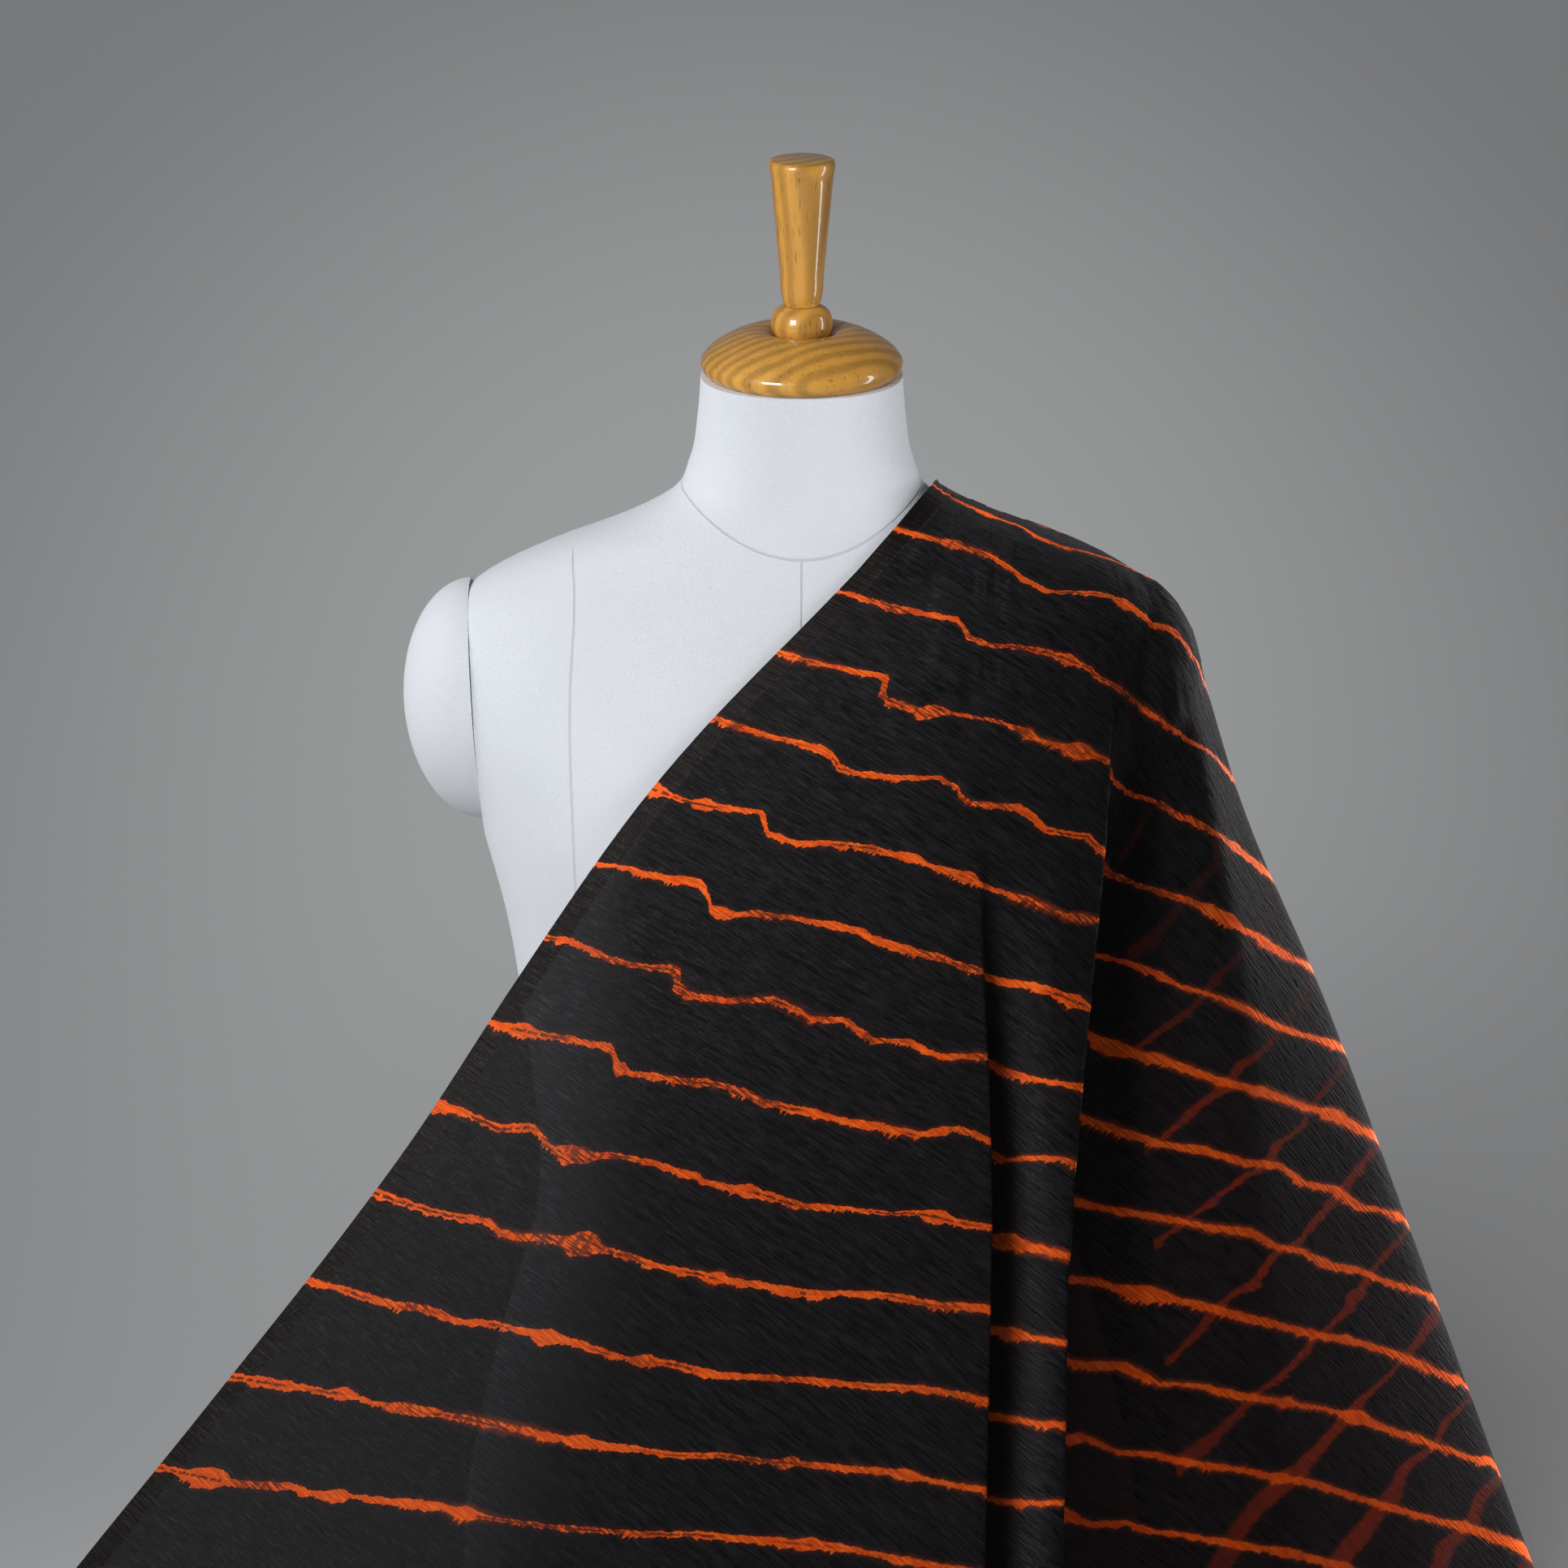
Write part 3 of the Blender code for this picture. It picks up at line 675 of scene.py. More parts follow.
class Nodes:
    """A material's node tree, with a Principled shader."""

    def __init__(self, name, roughness, **settings):
        self.material = bpy.data.materials.new(name)
        self.material.use_nodes = True
        self.tree = self.material.node_tree
        self.shader = self.tree.nodes["Principled BSDF"]
        self.shader.inputs["Roughness"].default_value = roughness
        for socket, value in settings.items():
            self.shader.inputs[socket.replace("_", " ")].default_value = value

    def add(self, kind, **settings):
        node = self.tree.nodes.new(kind)
        for key, value in settings.items():
            setattr(node, key, value)
        return node

    def plug(self, source, socket):
        if isinstance(source, Wire):
            self.tree.links.new(source.socket, socket)
        elif isinstance(source, bpy.types.NodeSocket):
            self.tree.links.new(source, socket)
        else:
            socket.default_value = source

    def math(self, operation, *values):
        node = self.add("ShaderNodeMath", operation=operation)
        for value, socket in zip(values, node.inputs):
            self.plug(value, socket)
        return Wire(self, node.outputs[0])

    def power(self, value, times):
        """The value multiplied by itself, as often as asked."""
        product = self.math("ADD", 1.0, 0.0)
        for _ in range(times):
            product = product * value
        return product

    def step(self, value, low, high):
        """0 below low and 1 above high, smooth between them."""
        node = self.add("ShaderNodeMapRange", interpolation_type="SMOOTHSTEP")
        for part, socket in zip((value, low, high, 0.0, 1.0), node.inputs):
            self.plug(part, socket)
        return Wire(self, node.outputs[0])

    def point(self, x, y, z=0.0):
        node = self.add("ShaderNodeCombineXYZ")
        for value, socket in zip((x, y, z), node.inputs):
            self.plug(value, socket)
        return node.outputs[0]

    def noise(self, place, scale=1.0, detail=2.0, roughness=0.5):
        node = self.add("ShaderNodeTexNoise", noise_dimensions="3D")
        self.plug(place, node.inputs["Vector"])
        node.inputs["Scale"].default_value = scale
        node.inputs["Detail"].default_value = detail
        node.inputs["Roughness"].default_value = roughness
        return Wire(self, node.outputs[0])

    def random(self, value):
        """A number from 0 to 1 that is the same for the same value."""
        node = self.add("ShaderNodeTexWhiteNoise", noise_dimensions="1D")
        self.plug(value, node.inputs["W"])
        return Wire(self, node.outputs["Value"])

    def blobs(self, along, line, own, each_metre, reach, share):
        """Swellings along a line: 1 at the middle of one, 0 past its reach, on a share of the places."""
        cell = along * each_metre + own * 7.3
        number = self.math("FLOOR", cell)
        shift = self.random(number * 1.7 + line * 9.1) * 0.5 - 0.25
        size = self.random(number * 2.9 + line * 17.3)
        gap = self.math("ABSOLUTE", cell - number - 0.5 - shift) / each_metre
        point = self.step(gap / (size * reach + 0.001), 1.0, 0.0)
        return point * self.step(size, 1.0 - share, 1.15 - share)

    def curve(self, value, points, smooth=False):
        node = self.add("ShaderNodeFloatCurve")
        self.plug(value, node.inputs["Value"])
        line = node.mapping.curves[0]
        while len(line.points) < len(points):
            line.points.new(0.5, 0.5)
        for made, (x, y) in zip(line.points, points):
            made.location = (x, y)
            made.handle_type = "AUTO" if smooth else "VECTOR"
        node.mapping.update()
        return Wire(self, node.outputs[0])

    def mix(self, share, first, second):
        node = self.add("ShaderNodeMix", data_type="RGBA")
        self.plug(share, node.inputs[0])
        self.plug(first, node.inputs[6])
        self.plug(second, node.inputs[7])
        return node.outputs[2]

    def coordinates(self, name="Object"):
        node = self.add("ShaderNodeTexCoord")
        split = self.add("ShaderNodeSeparateXYZ")
        self.tree.links.new(node.outputs[name], split.inputs[0])
        return [Wire(self, socket) for socket in split.outputs]

    def map_coordinates(self, name):
        node = self.add("ShaderNodeUVMap", uv_map=name)
        split = self.add("ShaderNodeSeparateXYZ")
        self.tree.links.new(node.outputs[0], split.inputs[0])
        return Wire(self, split.outputs[0]), Wire(self, split.outputs[1])

    def attribute(self, name):
        node = self.add("ShaderNodeAttribute", attribute_name=name)
        return Wire(self, node.outputs["Fac"])

    def bump(self, height, distance, strength=1.0):
        node = self.add("ShaderNodeBump")
        node.inputs["Strength"].default_value = strength
        node.inputs["Distance"].default_value = distance
        self.plug(height, node.inputs["Height"])
        self.tree.links.new(node.outputs[0], self.shader.inputs["Normal"])

    def translucent(self, share, colour):
        """Lets light that falls on the far side glow through."""
        glow = self.add("ShaderNodeBsdfTranslucent")
        self.plug(colour, glow.inputs["Color"])
        mix = self.add("ShaderNodeMixShader")
        self.plug(share, mix.inputs[0])
        self.tree.links.new(self.shader.outputs[0], mix.inputs[1])
        self.tree.links.new(glow.outputs[0], mix.inputs[2])
        output = self.tree.nodes["Material Output"]
        self.tree.links.new(mix.outputs[0], output.inputs["Surface"])

    def colour(self, source):
        self.plug(source, self.shader.inputs["Base Color"])


def line_terms():
    """The surface through the counts of LINES_PASSED, as factors of powers of across and down."""
    table = np.array(LINES_PASSED)
    of_across = np.vander(table[:, 0], increasing=True)
    of_down = np.vander(LINES_DOWN, increasing=True)
    return np.linalg.solve(of_across, table[:, 1:]) @ np.linalg.inv(of_down).T


def nearest_line(n, across, down):
    """The number of the dyed line nearest to each point, and how far below its middle that lies.

    Here and below, the third number of a noise's point only sets it apart from the other noises.
    """
    warp = n.noise(n.point(across * 30.0, down * 26.0, 31.0), 1.0, 0.0) - 0.5
    steps = n.curve((across + warp * 0.026) / STEP_WIDTH, STEPS) - 0.5
    fading = n.noise(n.point(across * 2.0, down * 23.0, 33.0), 1.0, 0.0) * 1.3 + 0.25
    fading = fading * (0.22 + 0.78 * n.step(down, 0.56, 0.36))
    drift = n.noise(n.point(across * 9.0, down * 6.0), 1.0, 1.0) - 0.5
    cell = across / 0.021 + n.noise(n.point(across * 5.0, down * 9.0, 6.0), 1.0, 0.0) * 3.0
    zigzag = n.math("PINGPONG", cell, 1.0) - 0.5
    bold = n.noise(n.point(across * 8.0, down * 14.0, 3.0), 1.0, 0.0)
    wander = steps * fading + drift * 0.30 + zigzag * n.step(bold, 0.42, 0.70) * fading * 0.11
    height = 0.0 - wander
    for across_power, row in enumerate(line_terms()):
        for down_power, lines in enumerate(row):
            passed = n.power(down, down_power) * n.power(across, across_power)
            height = height + passed * float(lines)
    number = n.math("FLOOR", height + 0.5)
    return number, (height - number) * LINE_SPACING


def line_stain(n, across, down, number, below, own, right):
    """The share of orange: a swelling line with a ragged lower edge, worn in dry stretches.

    right is 1 on the flank past the tucks, where the lines are softer, and back is 1 on the back.
    """
    swell = n.step(n.noise(n.point(across * 30.0, number * 5.3, 1.0), 1.0, 2.0, 0.6), 0.30, 0.70)
    blobs = n.blobs(across, number, own, 22.0, 0.0075, 0.42) * 0.0021
    large = n.blobs(across, number, own + 0.37, 8.0, 0.0135, 0.30) * 0.0034
    back = n.step(across, 0.62, 0.74)
    half = 0.0010 + swell * 0.0011 + (blobs + large) * (1.0 - right * 0.40 - back * 0.30)
    half = half * (1.0 + right * 0.30) + back * 0.0032
    jag = n.step(n.noise(n.point(across * 190.0, number * 7.7, 2.0), 1.0, 3.0, 0.65), 0.32, 0.68)
    notch = n.step(n.noise(n.point(across * 230.0, number * 6.1, 5.0), 1.0, 3.0, 0.65), 0.32, 0.68)
    bristle = n.step(n.noise(n.point(across * 700.0, down * 90.0, 7.0), 1.0, 1.0), 0.40, 0.66)
    tufts = n.step(n.noise(n.point(across * 60.0, number * 3.9, 9.0), 1.0, 2.0, 0.6), 0.46, 0.66)
    lower = half + (jag - 0.35) * 0.0016 + bristle * tufts * 0.0021
    upper = half + (notch - 0.5) * 0.0009 + bristle * (1.0 - tufts) * 0.0003
    soft = n.step(n.noise(n.point(across * 13.0, number * 2.3, 11.0), 1.0, 1.0), 0.50, 0.70)
    blur = 0.00022 + n.math("MAXIMUM", soft * 0.85, right * 0.9 + back) * 0.00095
    inside = n.math("MINIMUM", lower - below, upper + below)
    body = n.step(inside / blur, -0.6, 1.0)
    halo = n.step(inside, -0.0030, 0.0) * (0.02 + soft * 0.14 + right * 0.06)

    # Dry stretches, where the black crept under the resist in short dashes
    dry_spot = n.noise(n.point(across * 15.0, number * 4.1, 21.0), 1.0, 1.0)
    dashes = n.noise(n.point(across * 130.0, down * 700.0, 4.0), 1.0, 2.0)
    gaps = n.noise(n.point(across * 420.0, down * 70.0, 14.0), 1.0, 2.0)
    broken = n.math("MAXIMUM", n.step(dashes, 0.46, 0.58), n.step(gaps, 0.50, 0.62) * 0.8)
    dry = n.step(dry_spot, 0.46, 0.60) * broken
    doubled = n.step(n.noise(n.point(across * 26.0, number * 8.3, 41.0), 1.0, 1.0), 0.52, 0.60)
    middle = n.math("ABSOLUTE", below + (dashes - 0.5) * 0.0030 - 0.0002)
    core = n.step(middle, 0.0009, 0.0003) * n.step(gaps, 0.36, 0.46)
    worn = n.math("MAXIMUM", dry, doubled * core) * (1.0 - right)
    orange = n.math("MAXIMUM", body * (1.0 - worn * 0.85), halo)
    return orange * (1.0 - n.attribute("in_pleat") * 0.85)


def leheriya_silk():
    """Black semi-sheer silk with resist-dyed orange lines that step down in columns."""
    n = Nodes("leheriya_silk", 0.5, Specular_IOR_Level=0.30, IOR=1.35, Sheen_Weight=0.015,
              Sheen_Roughness=0.4)
    across, down = n.map_coordinates("flat")
    number, below = nearest_line(n, across, down)
    own = n.random(number * 3.17 + 0.4)
    right = n.step(across, 0.20, 0.36)
    orange = line_stain(n, across, down, number, below, own, right)

    # The weave: crinkled yarns along the weft, and fine warp
    yarn = n.step(n.noise(n.point(across * 90.0, down * 850.0), 1.0, 2.0, 0.6), 0.30, 0.70)
    fine = n.noise(n.point(across * 1400.0, down * 260.0, 5.0), 1.0, 1.0)
    slub = n.step(n.noise(n.point(across * 36.0, down * 330.0, 8.0), 1.0, 2.0), 0.30, 0.70)
    from_edge = n.attribute("from_selvedge")
    band = n.step(from_edge, SELVEDGE_BAND + 0.0004, SELVEDGE_BAND - 0.0004)

    black = n.mix(yarn * 0.6 + slub * 0.4, (0.0004, 0.0003, 0.0004, 1), (0.0180, 0.0155, 0.0182, 1))
    ground = n.mix(band, black, (0.0080, 0.0050, 0.0042, 1))
    tone = n.step(yarn + own * 0.15, 0.25, 0.85)
    dyed = n.mix(tone, (0.80, 0.078, 0.003, 1), (1.0, 0.145, 0.012, 1))
    painted = n.mix(orange, ground, dyed)
    n.colour(painted)
    shone = n.mix(orange, (0.034, 0.012, 0.010, 1), (1.0, 0.075, 0.002, 1))
    # Painted shade: the glow through the cloth is cut to 0.15 near the main crease, as if the ridge kept
    # the light off it there, and rises to full strength past it.
    glow_past_painted_crease_shade = 0.15 + 0.85 * n.step(across, 0.36, 0.50)
    n.translucent((0.10 + orange * 0.13) * glow_past_painted_crease_shade, shone)
    cover = 0.950 + yarn * 0.040 + slub * 0.01 + band * 0.03 - right * 0.018
    n.plug(n.math("MINIMUM", cover, 1.0), n.shader.inputs["Alpha"])
    n.plug(0.40 + yarn * 0.16 + orange * 0.12, n.shader.inputs["Roughness"])
    n.bump(yarn * (1.0 - band * 0.7) + fine * 0.30 + slub * 0.6, 0.00060, 1.0)
    return n.material


def canvas():
    """Off-white plain-woven canvas, its seams pressed flat, with a few pin marks."""
    n = Nodes("form_canvas", 0.82, Specular_IOR_Level=0.25, Sheen_Weight=0.08)
    x, y, z = n.coordinates("Object")
    side = n.math("ABSOLUTE", x)
    weave_x = n.math("SINE", x * THREADS_TURN)
    weave_z = n.math("SINE", z * THREADS_TURN)
    threads = weave_x * weave_z
    mottle = n.noise(n.point(x * 9.0, y * 9.0, z * 9.0), 1.0, 3.0)
    slubs = n.noise(n.point(x * 700.0, y * 700.0, z * 250.0), 1.0, 2.0)
    princess_x = n.curve(z / PRINCESS_HEIGHT, PRINCESS_SEAM, smooth=True) * PRINCESS_WIDTH
    below_neck = n.step(z, 0.632, 0.628)
    neck_line = 0.6295 + x * x * 8.5 + n.step(y, -0.02, 0.04) * 0.020
    seam_of = []
    for distance, where in (
        (side, below_neck),
        (n.math("ABSOLUTE", side - princess_x), n.step(z, 0.634, 0.628)),
        (n.math("ABSOLUTE", z - neck_line), n.step(side, 0.075, 0.068)),
    ):
        seam_of.append(n.step(distance, 0.0008, 0.0002) * where)
    seam = n.math("MAXIMUM", n.math("MAXIMUM", seam_of[0], seam_of[1]), seam_of[2])
    pins = n.add("ShaderNodeTexVoronoi")
    pins.inputs["Scale"].default_value = 15.0
    n.plug(n.point(x, y, z), pins.inputs["Vector"])
    pin = n.step(Wire(n, pins.outputs["Distance"]), 0.020, 0.012)
    clean = n.mix(mottle, (0.66, 0.69, 0.74, 1), (0.78, 0.80, 0.84, 1))
    marked = n.mix(seam * 0.20 + pin * 0.5, clean, (0.20, 0.20, 0.21, 1))
    n.colour(marked)
    n.bump(threads * 0.35 + slubs * 0.5 - seam * 2.0 - pin, 0.00035, 0.7)
    return n.material


def turned_wood(name, grain_scale, tint):
    """Glossy varnished hardwood, its growth rings cut by the lathe."""
    n = Nodes(name, 0.35, Specular_IOR_Level=0.3, Coat_Weight=0.7, Coat_Roughness=0.05)
    x, y, z = n.coordinates("Object")
    warp = n.noise(n.point(x * 18.0, y * 18.0, z * 7.0), 1.0, 2.0)
    # The growth rings are round a pith beside the piece
    pith_x, pith_y = -0.035, 0.05
    radius = n.math("SQRT", (x - pith_x) * (x - pith_x) + (y - pith_y) * (y - pith_y))
    rings = n.math("SINE", (radius + warp * 0.012) * grain_scale)
    rings = n.step(rings, -0.9, 1.0)
    pores = n.noise(n.point(x * 900.0, y * 900.0, z * 42.0), 1.0, 2.0)
    streak = n.noise(n.point(x * 160.0, y * 160.0, z * 9.0), 1.0, 3.0)
    pale = n.mix(streak, tuple(0.80 * c for c in tint) + (1,), tuple(1.18 * c for c in tint) + (1,))
    ringed = n.mix(rings * 0.55, pale, tuple(0.42 * c for c in tint) + (1,))
    pored = n.mix(n.step(pores, 0.60, 0.72) * 0.55, ringed, (0.07, 0.028, 0.008, 1))
    n.colour(pored)
    n.bump(pores * 0.4 + streak * 0.4, 0.0001, 0.25)
    return n.material


# The pieces


def add_piece(name, mesh, material, slot, *nodes):
    """Adds a piece that rides on the part's one body and stands for the CAD nodes given."""
    piece = bpy.data.objects.new(name, mesh)
    bpy.context.scene.collection.objects.link(piece)
    mesh.materials.append(material)
    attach(piece, "root")
    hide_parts(*nodes)
    return piece


def make_cloth():
    """The cloth with its dyed look."""
    mesh, turns, grid, packed = cloth_mesh()
    mesh.shade_smooth()
    cloth = add_piece("leheriya_cloth", mesh, leheriya_silk(), "leheriya_silk", "cloth")
    area, cut = unroll(cloth, turns, grid, packed)
    edge_distance(mesh, grid, packed)
    mark_pleat(mesh, turns, packed)


def make_torso(material):
    """The padded torso and neck, cut off flat at the armholes."""
    levels = np.linspace(0.0, BODY_SECTIONS[-1][0], TORSO_LEVELS)
    rings = np.array([body_ring(height, TORSO_POINTS) for height in levels])
    bm = bmesh.new()
    verts = [[bm.verts.new(point) for point in ring] for ring in rings]
    for low, high in zip(verts, verts[1:]):
        for k in range(TORSO_POINTS):
            after = (k + 1) % TORSO_POINTS
            bm.faces.new((low[k], low[after], high[after], high[k]))
    bm.faces.new(list(reversed(verts[0])))
    bm.faces.new(verts[-1])
    mesh = bpy.data.meshes.new("form_torso")
    bm.to_mesh(mesh)
    bm.free()
    mesh.shade_smooth()
    mesh.set_sharp_from_angle(angle=FORM_SHARP_ANGLE)
    torso = add_piece("form_torso", mesh, material, "canvas", "torso")
    for side in (1, -1):
        cut = torso.modifiers.new(f"armhole_{side}", "BOOLEAN")
        cut.operation = "DIFFERENCE"
        cut.solver = "EXACT"
        cut.object = armhole_cutter(side)
        bpy.context.view_layer.objects.active = torso
        bpy.ops.object.modifier_apply(modifier=cut.name)
    for thing in [o for o in bpy.data.objects if o.name.startswith("armhole_cutter")]:
        bpy.data.objects.remove(thing, do_unlink=True)
    torso.data.set_sharp_from_angle(angle=FORM_SHARP_ANGLE)


def armhole_cutter(side):
    """A block just outside an armhole's plane."""
    size = 0.10
    bm = bmesh.new()
    bmesh.ops.create_cube(bm, size=1.0)
    stretch = Matrix.Diagonal((size, 3 * size, 2 * size, 1.0))
    bm.transform(arm_frame(side) @ Matrix.Translation((size / 2, 0, 0)) @ stretch)
    bm.normal_update()
    bmesh.ops.recalc_face_normals(bm, faces=bm.faces)
    mesh = bpy.data.meshes.new("armhole_cutter")
    bm.to_mesh(mesh)
    bm.free()
    cutter = bpy.data.objects.new("armhole_cutter", mesh)
    bpy.context.scene.collection.objects.link(cutter)
    return cutter


def make_arm_cap(name, side, material, node):
    """Half an ellipsoid, its flat side against the armhole."""
    bm = bmesh.new()
    bmesh.ops.create_uvsphere(bm, u_segments=96, v_segments=64, radius=1.0)
    cut = bmesh.ops.bisect_plane(
        bm, geom=bm.verts[:] + bm.edges[:] + bm.faces[:], plane_co=(0, 0, 0), plane_no=(-1, 0, 0),
        clear_outer=True, dist=0.00001,
    )
    rim = [g for g in cut["geom_cut"] if isinstance(g, bmesh.types.BMEdge)]
    bmesh.ops.contextual_create(bm, geom=rim)
    place = Matrix.Translation((PIECE_GAP, 0, 0)) @ Matrix.Diagonal((*ARM_SEMI, 1.0))
    bm.transform(arm_frame(side) @ place)
    bm.normal_update()
    bmesh.ops.recalc_face_normals(bm, faces=bm.faces)
    mesh = bpy.data.meshes.new(name)
    bm.to_mesh(mesh)
    bm.free()
    mesh.shade_smooth()
    mesh.set_sharp_from_angle(angle=FORM_SHARP_ANGLE)
    add_piece(name, mesh, material, "canvas", node)


def make_turned(name, profile, lift, material, node):
    """A turned piece on the leaning axis of the neck, its profile rounded between its points."""
    rows = np.array(((0.0, profile[0][1]), *profile, (0.0, profile[-1][1])))
    steps = np.concatenate([[0], np.cumsum(np.linalg.norm(np.diff(rows, axis=0), axis=1))])
    inner = np.column_stack([steps, rows])[1:-1]
    fine = smooth_columns(inner, np.linspace(inner[0, 0], inner[-1, 0], PROFILE_POINTS))
    outline = np.vstack([rows[:1], fine, rows[-1:]])
    bm = bmesh.new()
    points = [bm.verts.new((radius, 0.0, height)) for radius, height in outline]
    for a, b in zip(points, points[1:]):
        bm.edges.new((a, b))
    mesh = bpy.data.meshes.new(name)
    bm.to_mesh(mesh)
    bm.free()
    piece = add_piece(name, mesh, material, "varnished_wood", node)
    turn = piece.modifiers.new("turn", "SCREW")
    turn.axis = "Z"
    turn.angle = 2 * math.pi
    turn.steps = LATHE_STEPS
    turn.render_steps = LATHE_STEPS
    turn.use_merge_vertices = True
    turn.merge_threshold = 0.00001
    turn.use_smooth_shade = True
    bpy.context.view_layer.objects.active = piece
    bpy.ops.object.modifier_apply(modifier=turn.name)
    piece.data.set_sharp_from_angle(angle=WOOD_SHARP_ANGLE)
    axis = Vector((0.0, -math.sin(NECK_TILT), math.cos(NECK_TILT)))
    piece.location = Vector(NECK_TOP) + axis * lift
    piece.rotation_euler = (NECK_TILT, 0.0, 0.0)


# The room


def make_stage():
    """A pale floor that sweeps up into a plain backdrop with a painted pool of light on it, which is
    clear to a camera behind it.
    """
    half_width, front, back, height, bend, steps = 9.0, -9.0, 2.6, 3.6, 2.2, 24
    section = [(front, 0.0), (back - bend, 0.0)]
    for k in range(1, steps + 1):
        turn = math.pi / 2 * k / steps
        section.append((back - bend + bend * math.sin(turn), bend - bend * math.cos(turn)))
    section.append((back, height))
    bm = bmesh.new()
    sides = [[bm.verts.new((x, y, z)) for y, z in section] for x in (-half_width, half_width)]
    for k in range(len(section) - 1):
        bm.faces.new((sides[0][k], sides[1][k], sides[1][k + 1], sides[0][k + 1]))
    mesh = bpy.data.meshes.new("backdrop")
    bm.to_mesh(mesh)
    bm.free()
    mesh.shade_smooth()
    backdrop = bpy.data.objects.new("backdrop", mesh)
    bpy.context.scene.collection.objects.link(backdrop)
    n = Nodes("backdrop_paper", 0.9, Specular_IOR_Level=0.1)
    x, _, z = n.coordinates("Object")
    # Painted light: the paper is lighter in a pool round a point 0.35 m up on the middle line and darker
    # towards the sides and top, a painted falloff of light.
    far = n.math("SQRT", x * x + (z - 0.35) * (z - 0.35) * 1.6)
    n.colour(n.mix(n.step(far, 0.15, 1.0), (0.352, 0.358, 0.360, 1), (0.216, 0.220, 0.223, 1)))
    back_face = Wire(n, n.add("ShaderNodeNewGeometry").outputs["Backfacing"])
    seen_directly = Wire(n, n.add("ShaderNodeLightPath").outputs["Is Camera Ray"])
    n.plug(1.0 - back_face * seen_directly, n.shader.inputs["Alpha"])
    mesh.materials.append(n.material)
    return backdrop


def add_light(name, place, target, size, power, lit, gloss=True, spread=180):
    """A rectangular light that falls on the pieces listed only."""
    lamp = bpy.data.lights.new(name, "AREA")
    lamp.spread = math.radians(spread)
    lamp.shape = "RECTANGLE"
    lamp.size, lamp.size_y = size
    lamp.energy = power
    thing = bpy.data.objects.new(name, lamp)
    thing.location = place
    aim = Vector(target) - Vector(place)
    thing.rotation_euler = aim.to_track_quat("-Z", "Y").to_euler()
    thing.visible_glossy = gloss
    thing.visible_camera = False
    bpy.context.scene.collection.objects.link(thing)
    receivers = bpy.data.collections.new(f"{name}_falls_on")
    for piece in lit:
        receivers.objects.link(piece)
    thing.light_linking.receiver_collection = receivers


def make_world():
    """Soft light from all round, strongest from the left."""
    world = bpy.data.worlds.new("studio")
    world.use_nodes = True
    tree = world.node_tree
    background = tree.nodes["Background"]
    background.inputs["Color"].default_value = (0.8, 0.84, 0.9, 1)
    place = tree.nodes.new("ShaderNodeTexCoord")
    split = tree.nodes.new("ShaderNodeSeparateXYZ")
    fade = tree.nodes.new("ShaderNodeMapRange")
    fade.interpolation_type = "SMOOTHSTEP"
    for socket, value in zip(fade.inputs, (0.0, -0.8, 0.5, 0.30, 0.05)):
        socket.default_value = value
    tree.links.new(place.outputs["Generated"], split.inputs[0])
    tree.links.new(split.outputs[0], fade.inputs[0])
    tree.links.new(fade.outputs[0], background.inputs["Strength"])
    bpy.context.scene.world = world


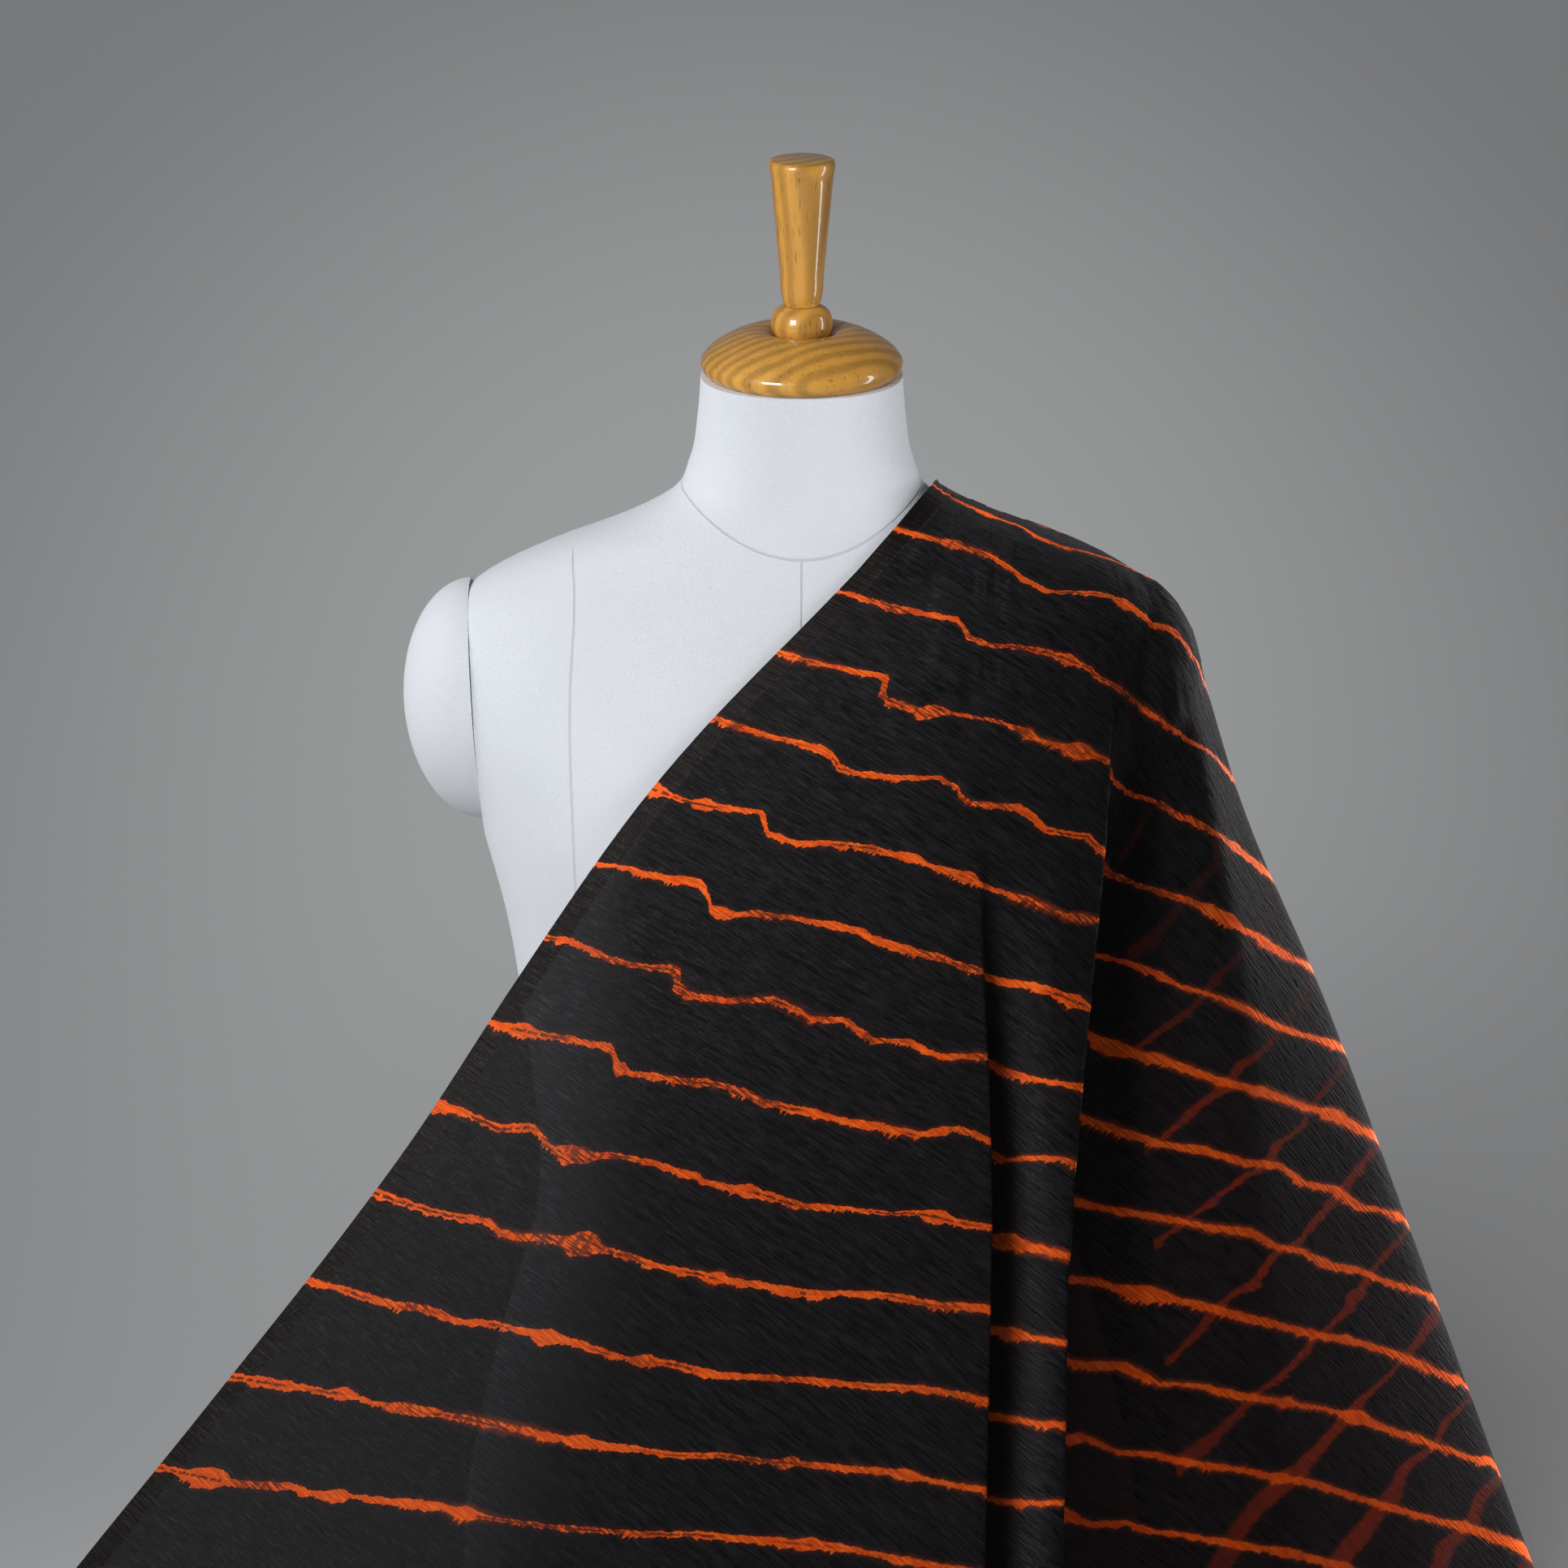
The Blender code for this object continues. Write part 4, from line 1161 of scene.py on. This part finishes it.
def make_lights(cloth, covered, wood, stage):
    """Large soft lamps, each falling on the cloth, the covered form, the wood or the stage only."""
    add_light("key", (-0.68, -0.80, 1.38), (0.18, -0.1, 0.66), (0.70, 0.70), 5.8, cloth, spread=100)
    add_light("front", (-0.50, -0.85, 1.15), (0.0, -0.1, 0.5), (0.6, 0.6), 1.9, cloth)
    add_light("form_key", (-1.25, -2.3, 1.35), (0.0, 0.0, 0.5), (1.5, 1.5), 54, covered)
    add_light("wood_key", (-1.3, -2.0, 1.25), (0.0, 0.0, 0.75), (0.9, 0.9), 62, wood)
    add_light("form_fill", (1.5, -1.8, 1.0), (0.0, 0.0, 0.5), (1.0, 1.0), 10, covered)
    add_light("strip", (1.5, -0.2, 0.75), (0.0, 0.0, 0.75), (0.18, 1.6), 11, covered + wood)
    add_light("back_right", (0.95, 0.95, 0.40), (0.35, 0.0, 0.25), (0.9, 1.0), 43, cloth,
              gloss=False, spread=95)
    add_light("rim", (1.0, 0.9, 0.5), (0.3, 0.0, 0.3), (0.2, 0.8), 0.8, cloth)
    add_light("back_left", (-1.6, 0.5, 1.3), (-0.1, 0.0, 0.4), (0.5, 1.4), 13, covered)
    add_light("backdrop_wash", (-0.5, -2.2, 2.2), (0.2, 2.0, 0.7), (1.5, 1.5), 168, stage)


def make_camera():
    lens = bpy.data.cameras.new("view")
    lens.lens = CAMERA_LENS_MM
    lens.sensor_width = CAMERA_SENSOR_MM
    camera = bpy.data.objects.new("view", lens)
    camera.location = CAMERA_PLACE
    camera.rotation_euler = (math.pi / 2 - CAMERA_PITCH, 0.0, 0.0)
    bpy.context.scene.collection.objects.link(camera)
    bpy.context.scene.camera = camera


def main():
    bpy.context.scene.view_settings.view_transform = "Standard"
    make_camera()
    stage = [make_stage()]
    cover = canvas()
    make_torso(cover)
    make_arm_cap("form_arm_cap_left", 1, cover, "arm_cap_left")
    make_arm_cap("form_arm_cap_right", -1, cover, "arm_cap_right")
    ball_lift = NECK_CAP_PROFILE[0][1] + 2 * PIECE_GAP
    handle_lift = ball_lift + BALL_PROFILE[0][1] + PIECE_GAP
    for name, profile, lift, grain, node in (
        ("form_neck_cap", NECK_CAP_PROFILE, PIECE_GAP, 900.0, "neck_cap"),
        ("form_ball_collar", BALL_PROFILE, ball_lift, 700.0, "ball_collar"),
        ("form_handle", HANDLE_PROFILE, handle_lift, 800.0, "handle"),
    ):
        make_turned(name, profile, lift, turned_wood(f"{name}_wood", grain, WOOD_TINT), node)
    make_cloth()
    made = bpy.data.objects
    covered = [made["form_torso"], made["form_arm_cap_left"], made["form_arm_cap_right"]]
    wood = [made["form_neck_cap"], made["form_ball_collar"], made["form_handle"]]
    make_world()
    make_lights([made["leheriya_cloth"]], covered, wood, stage)


main()
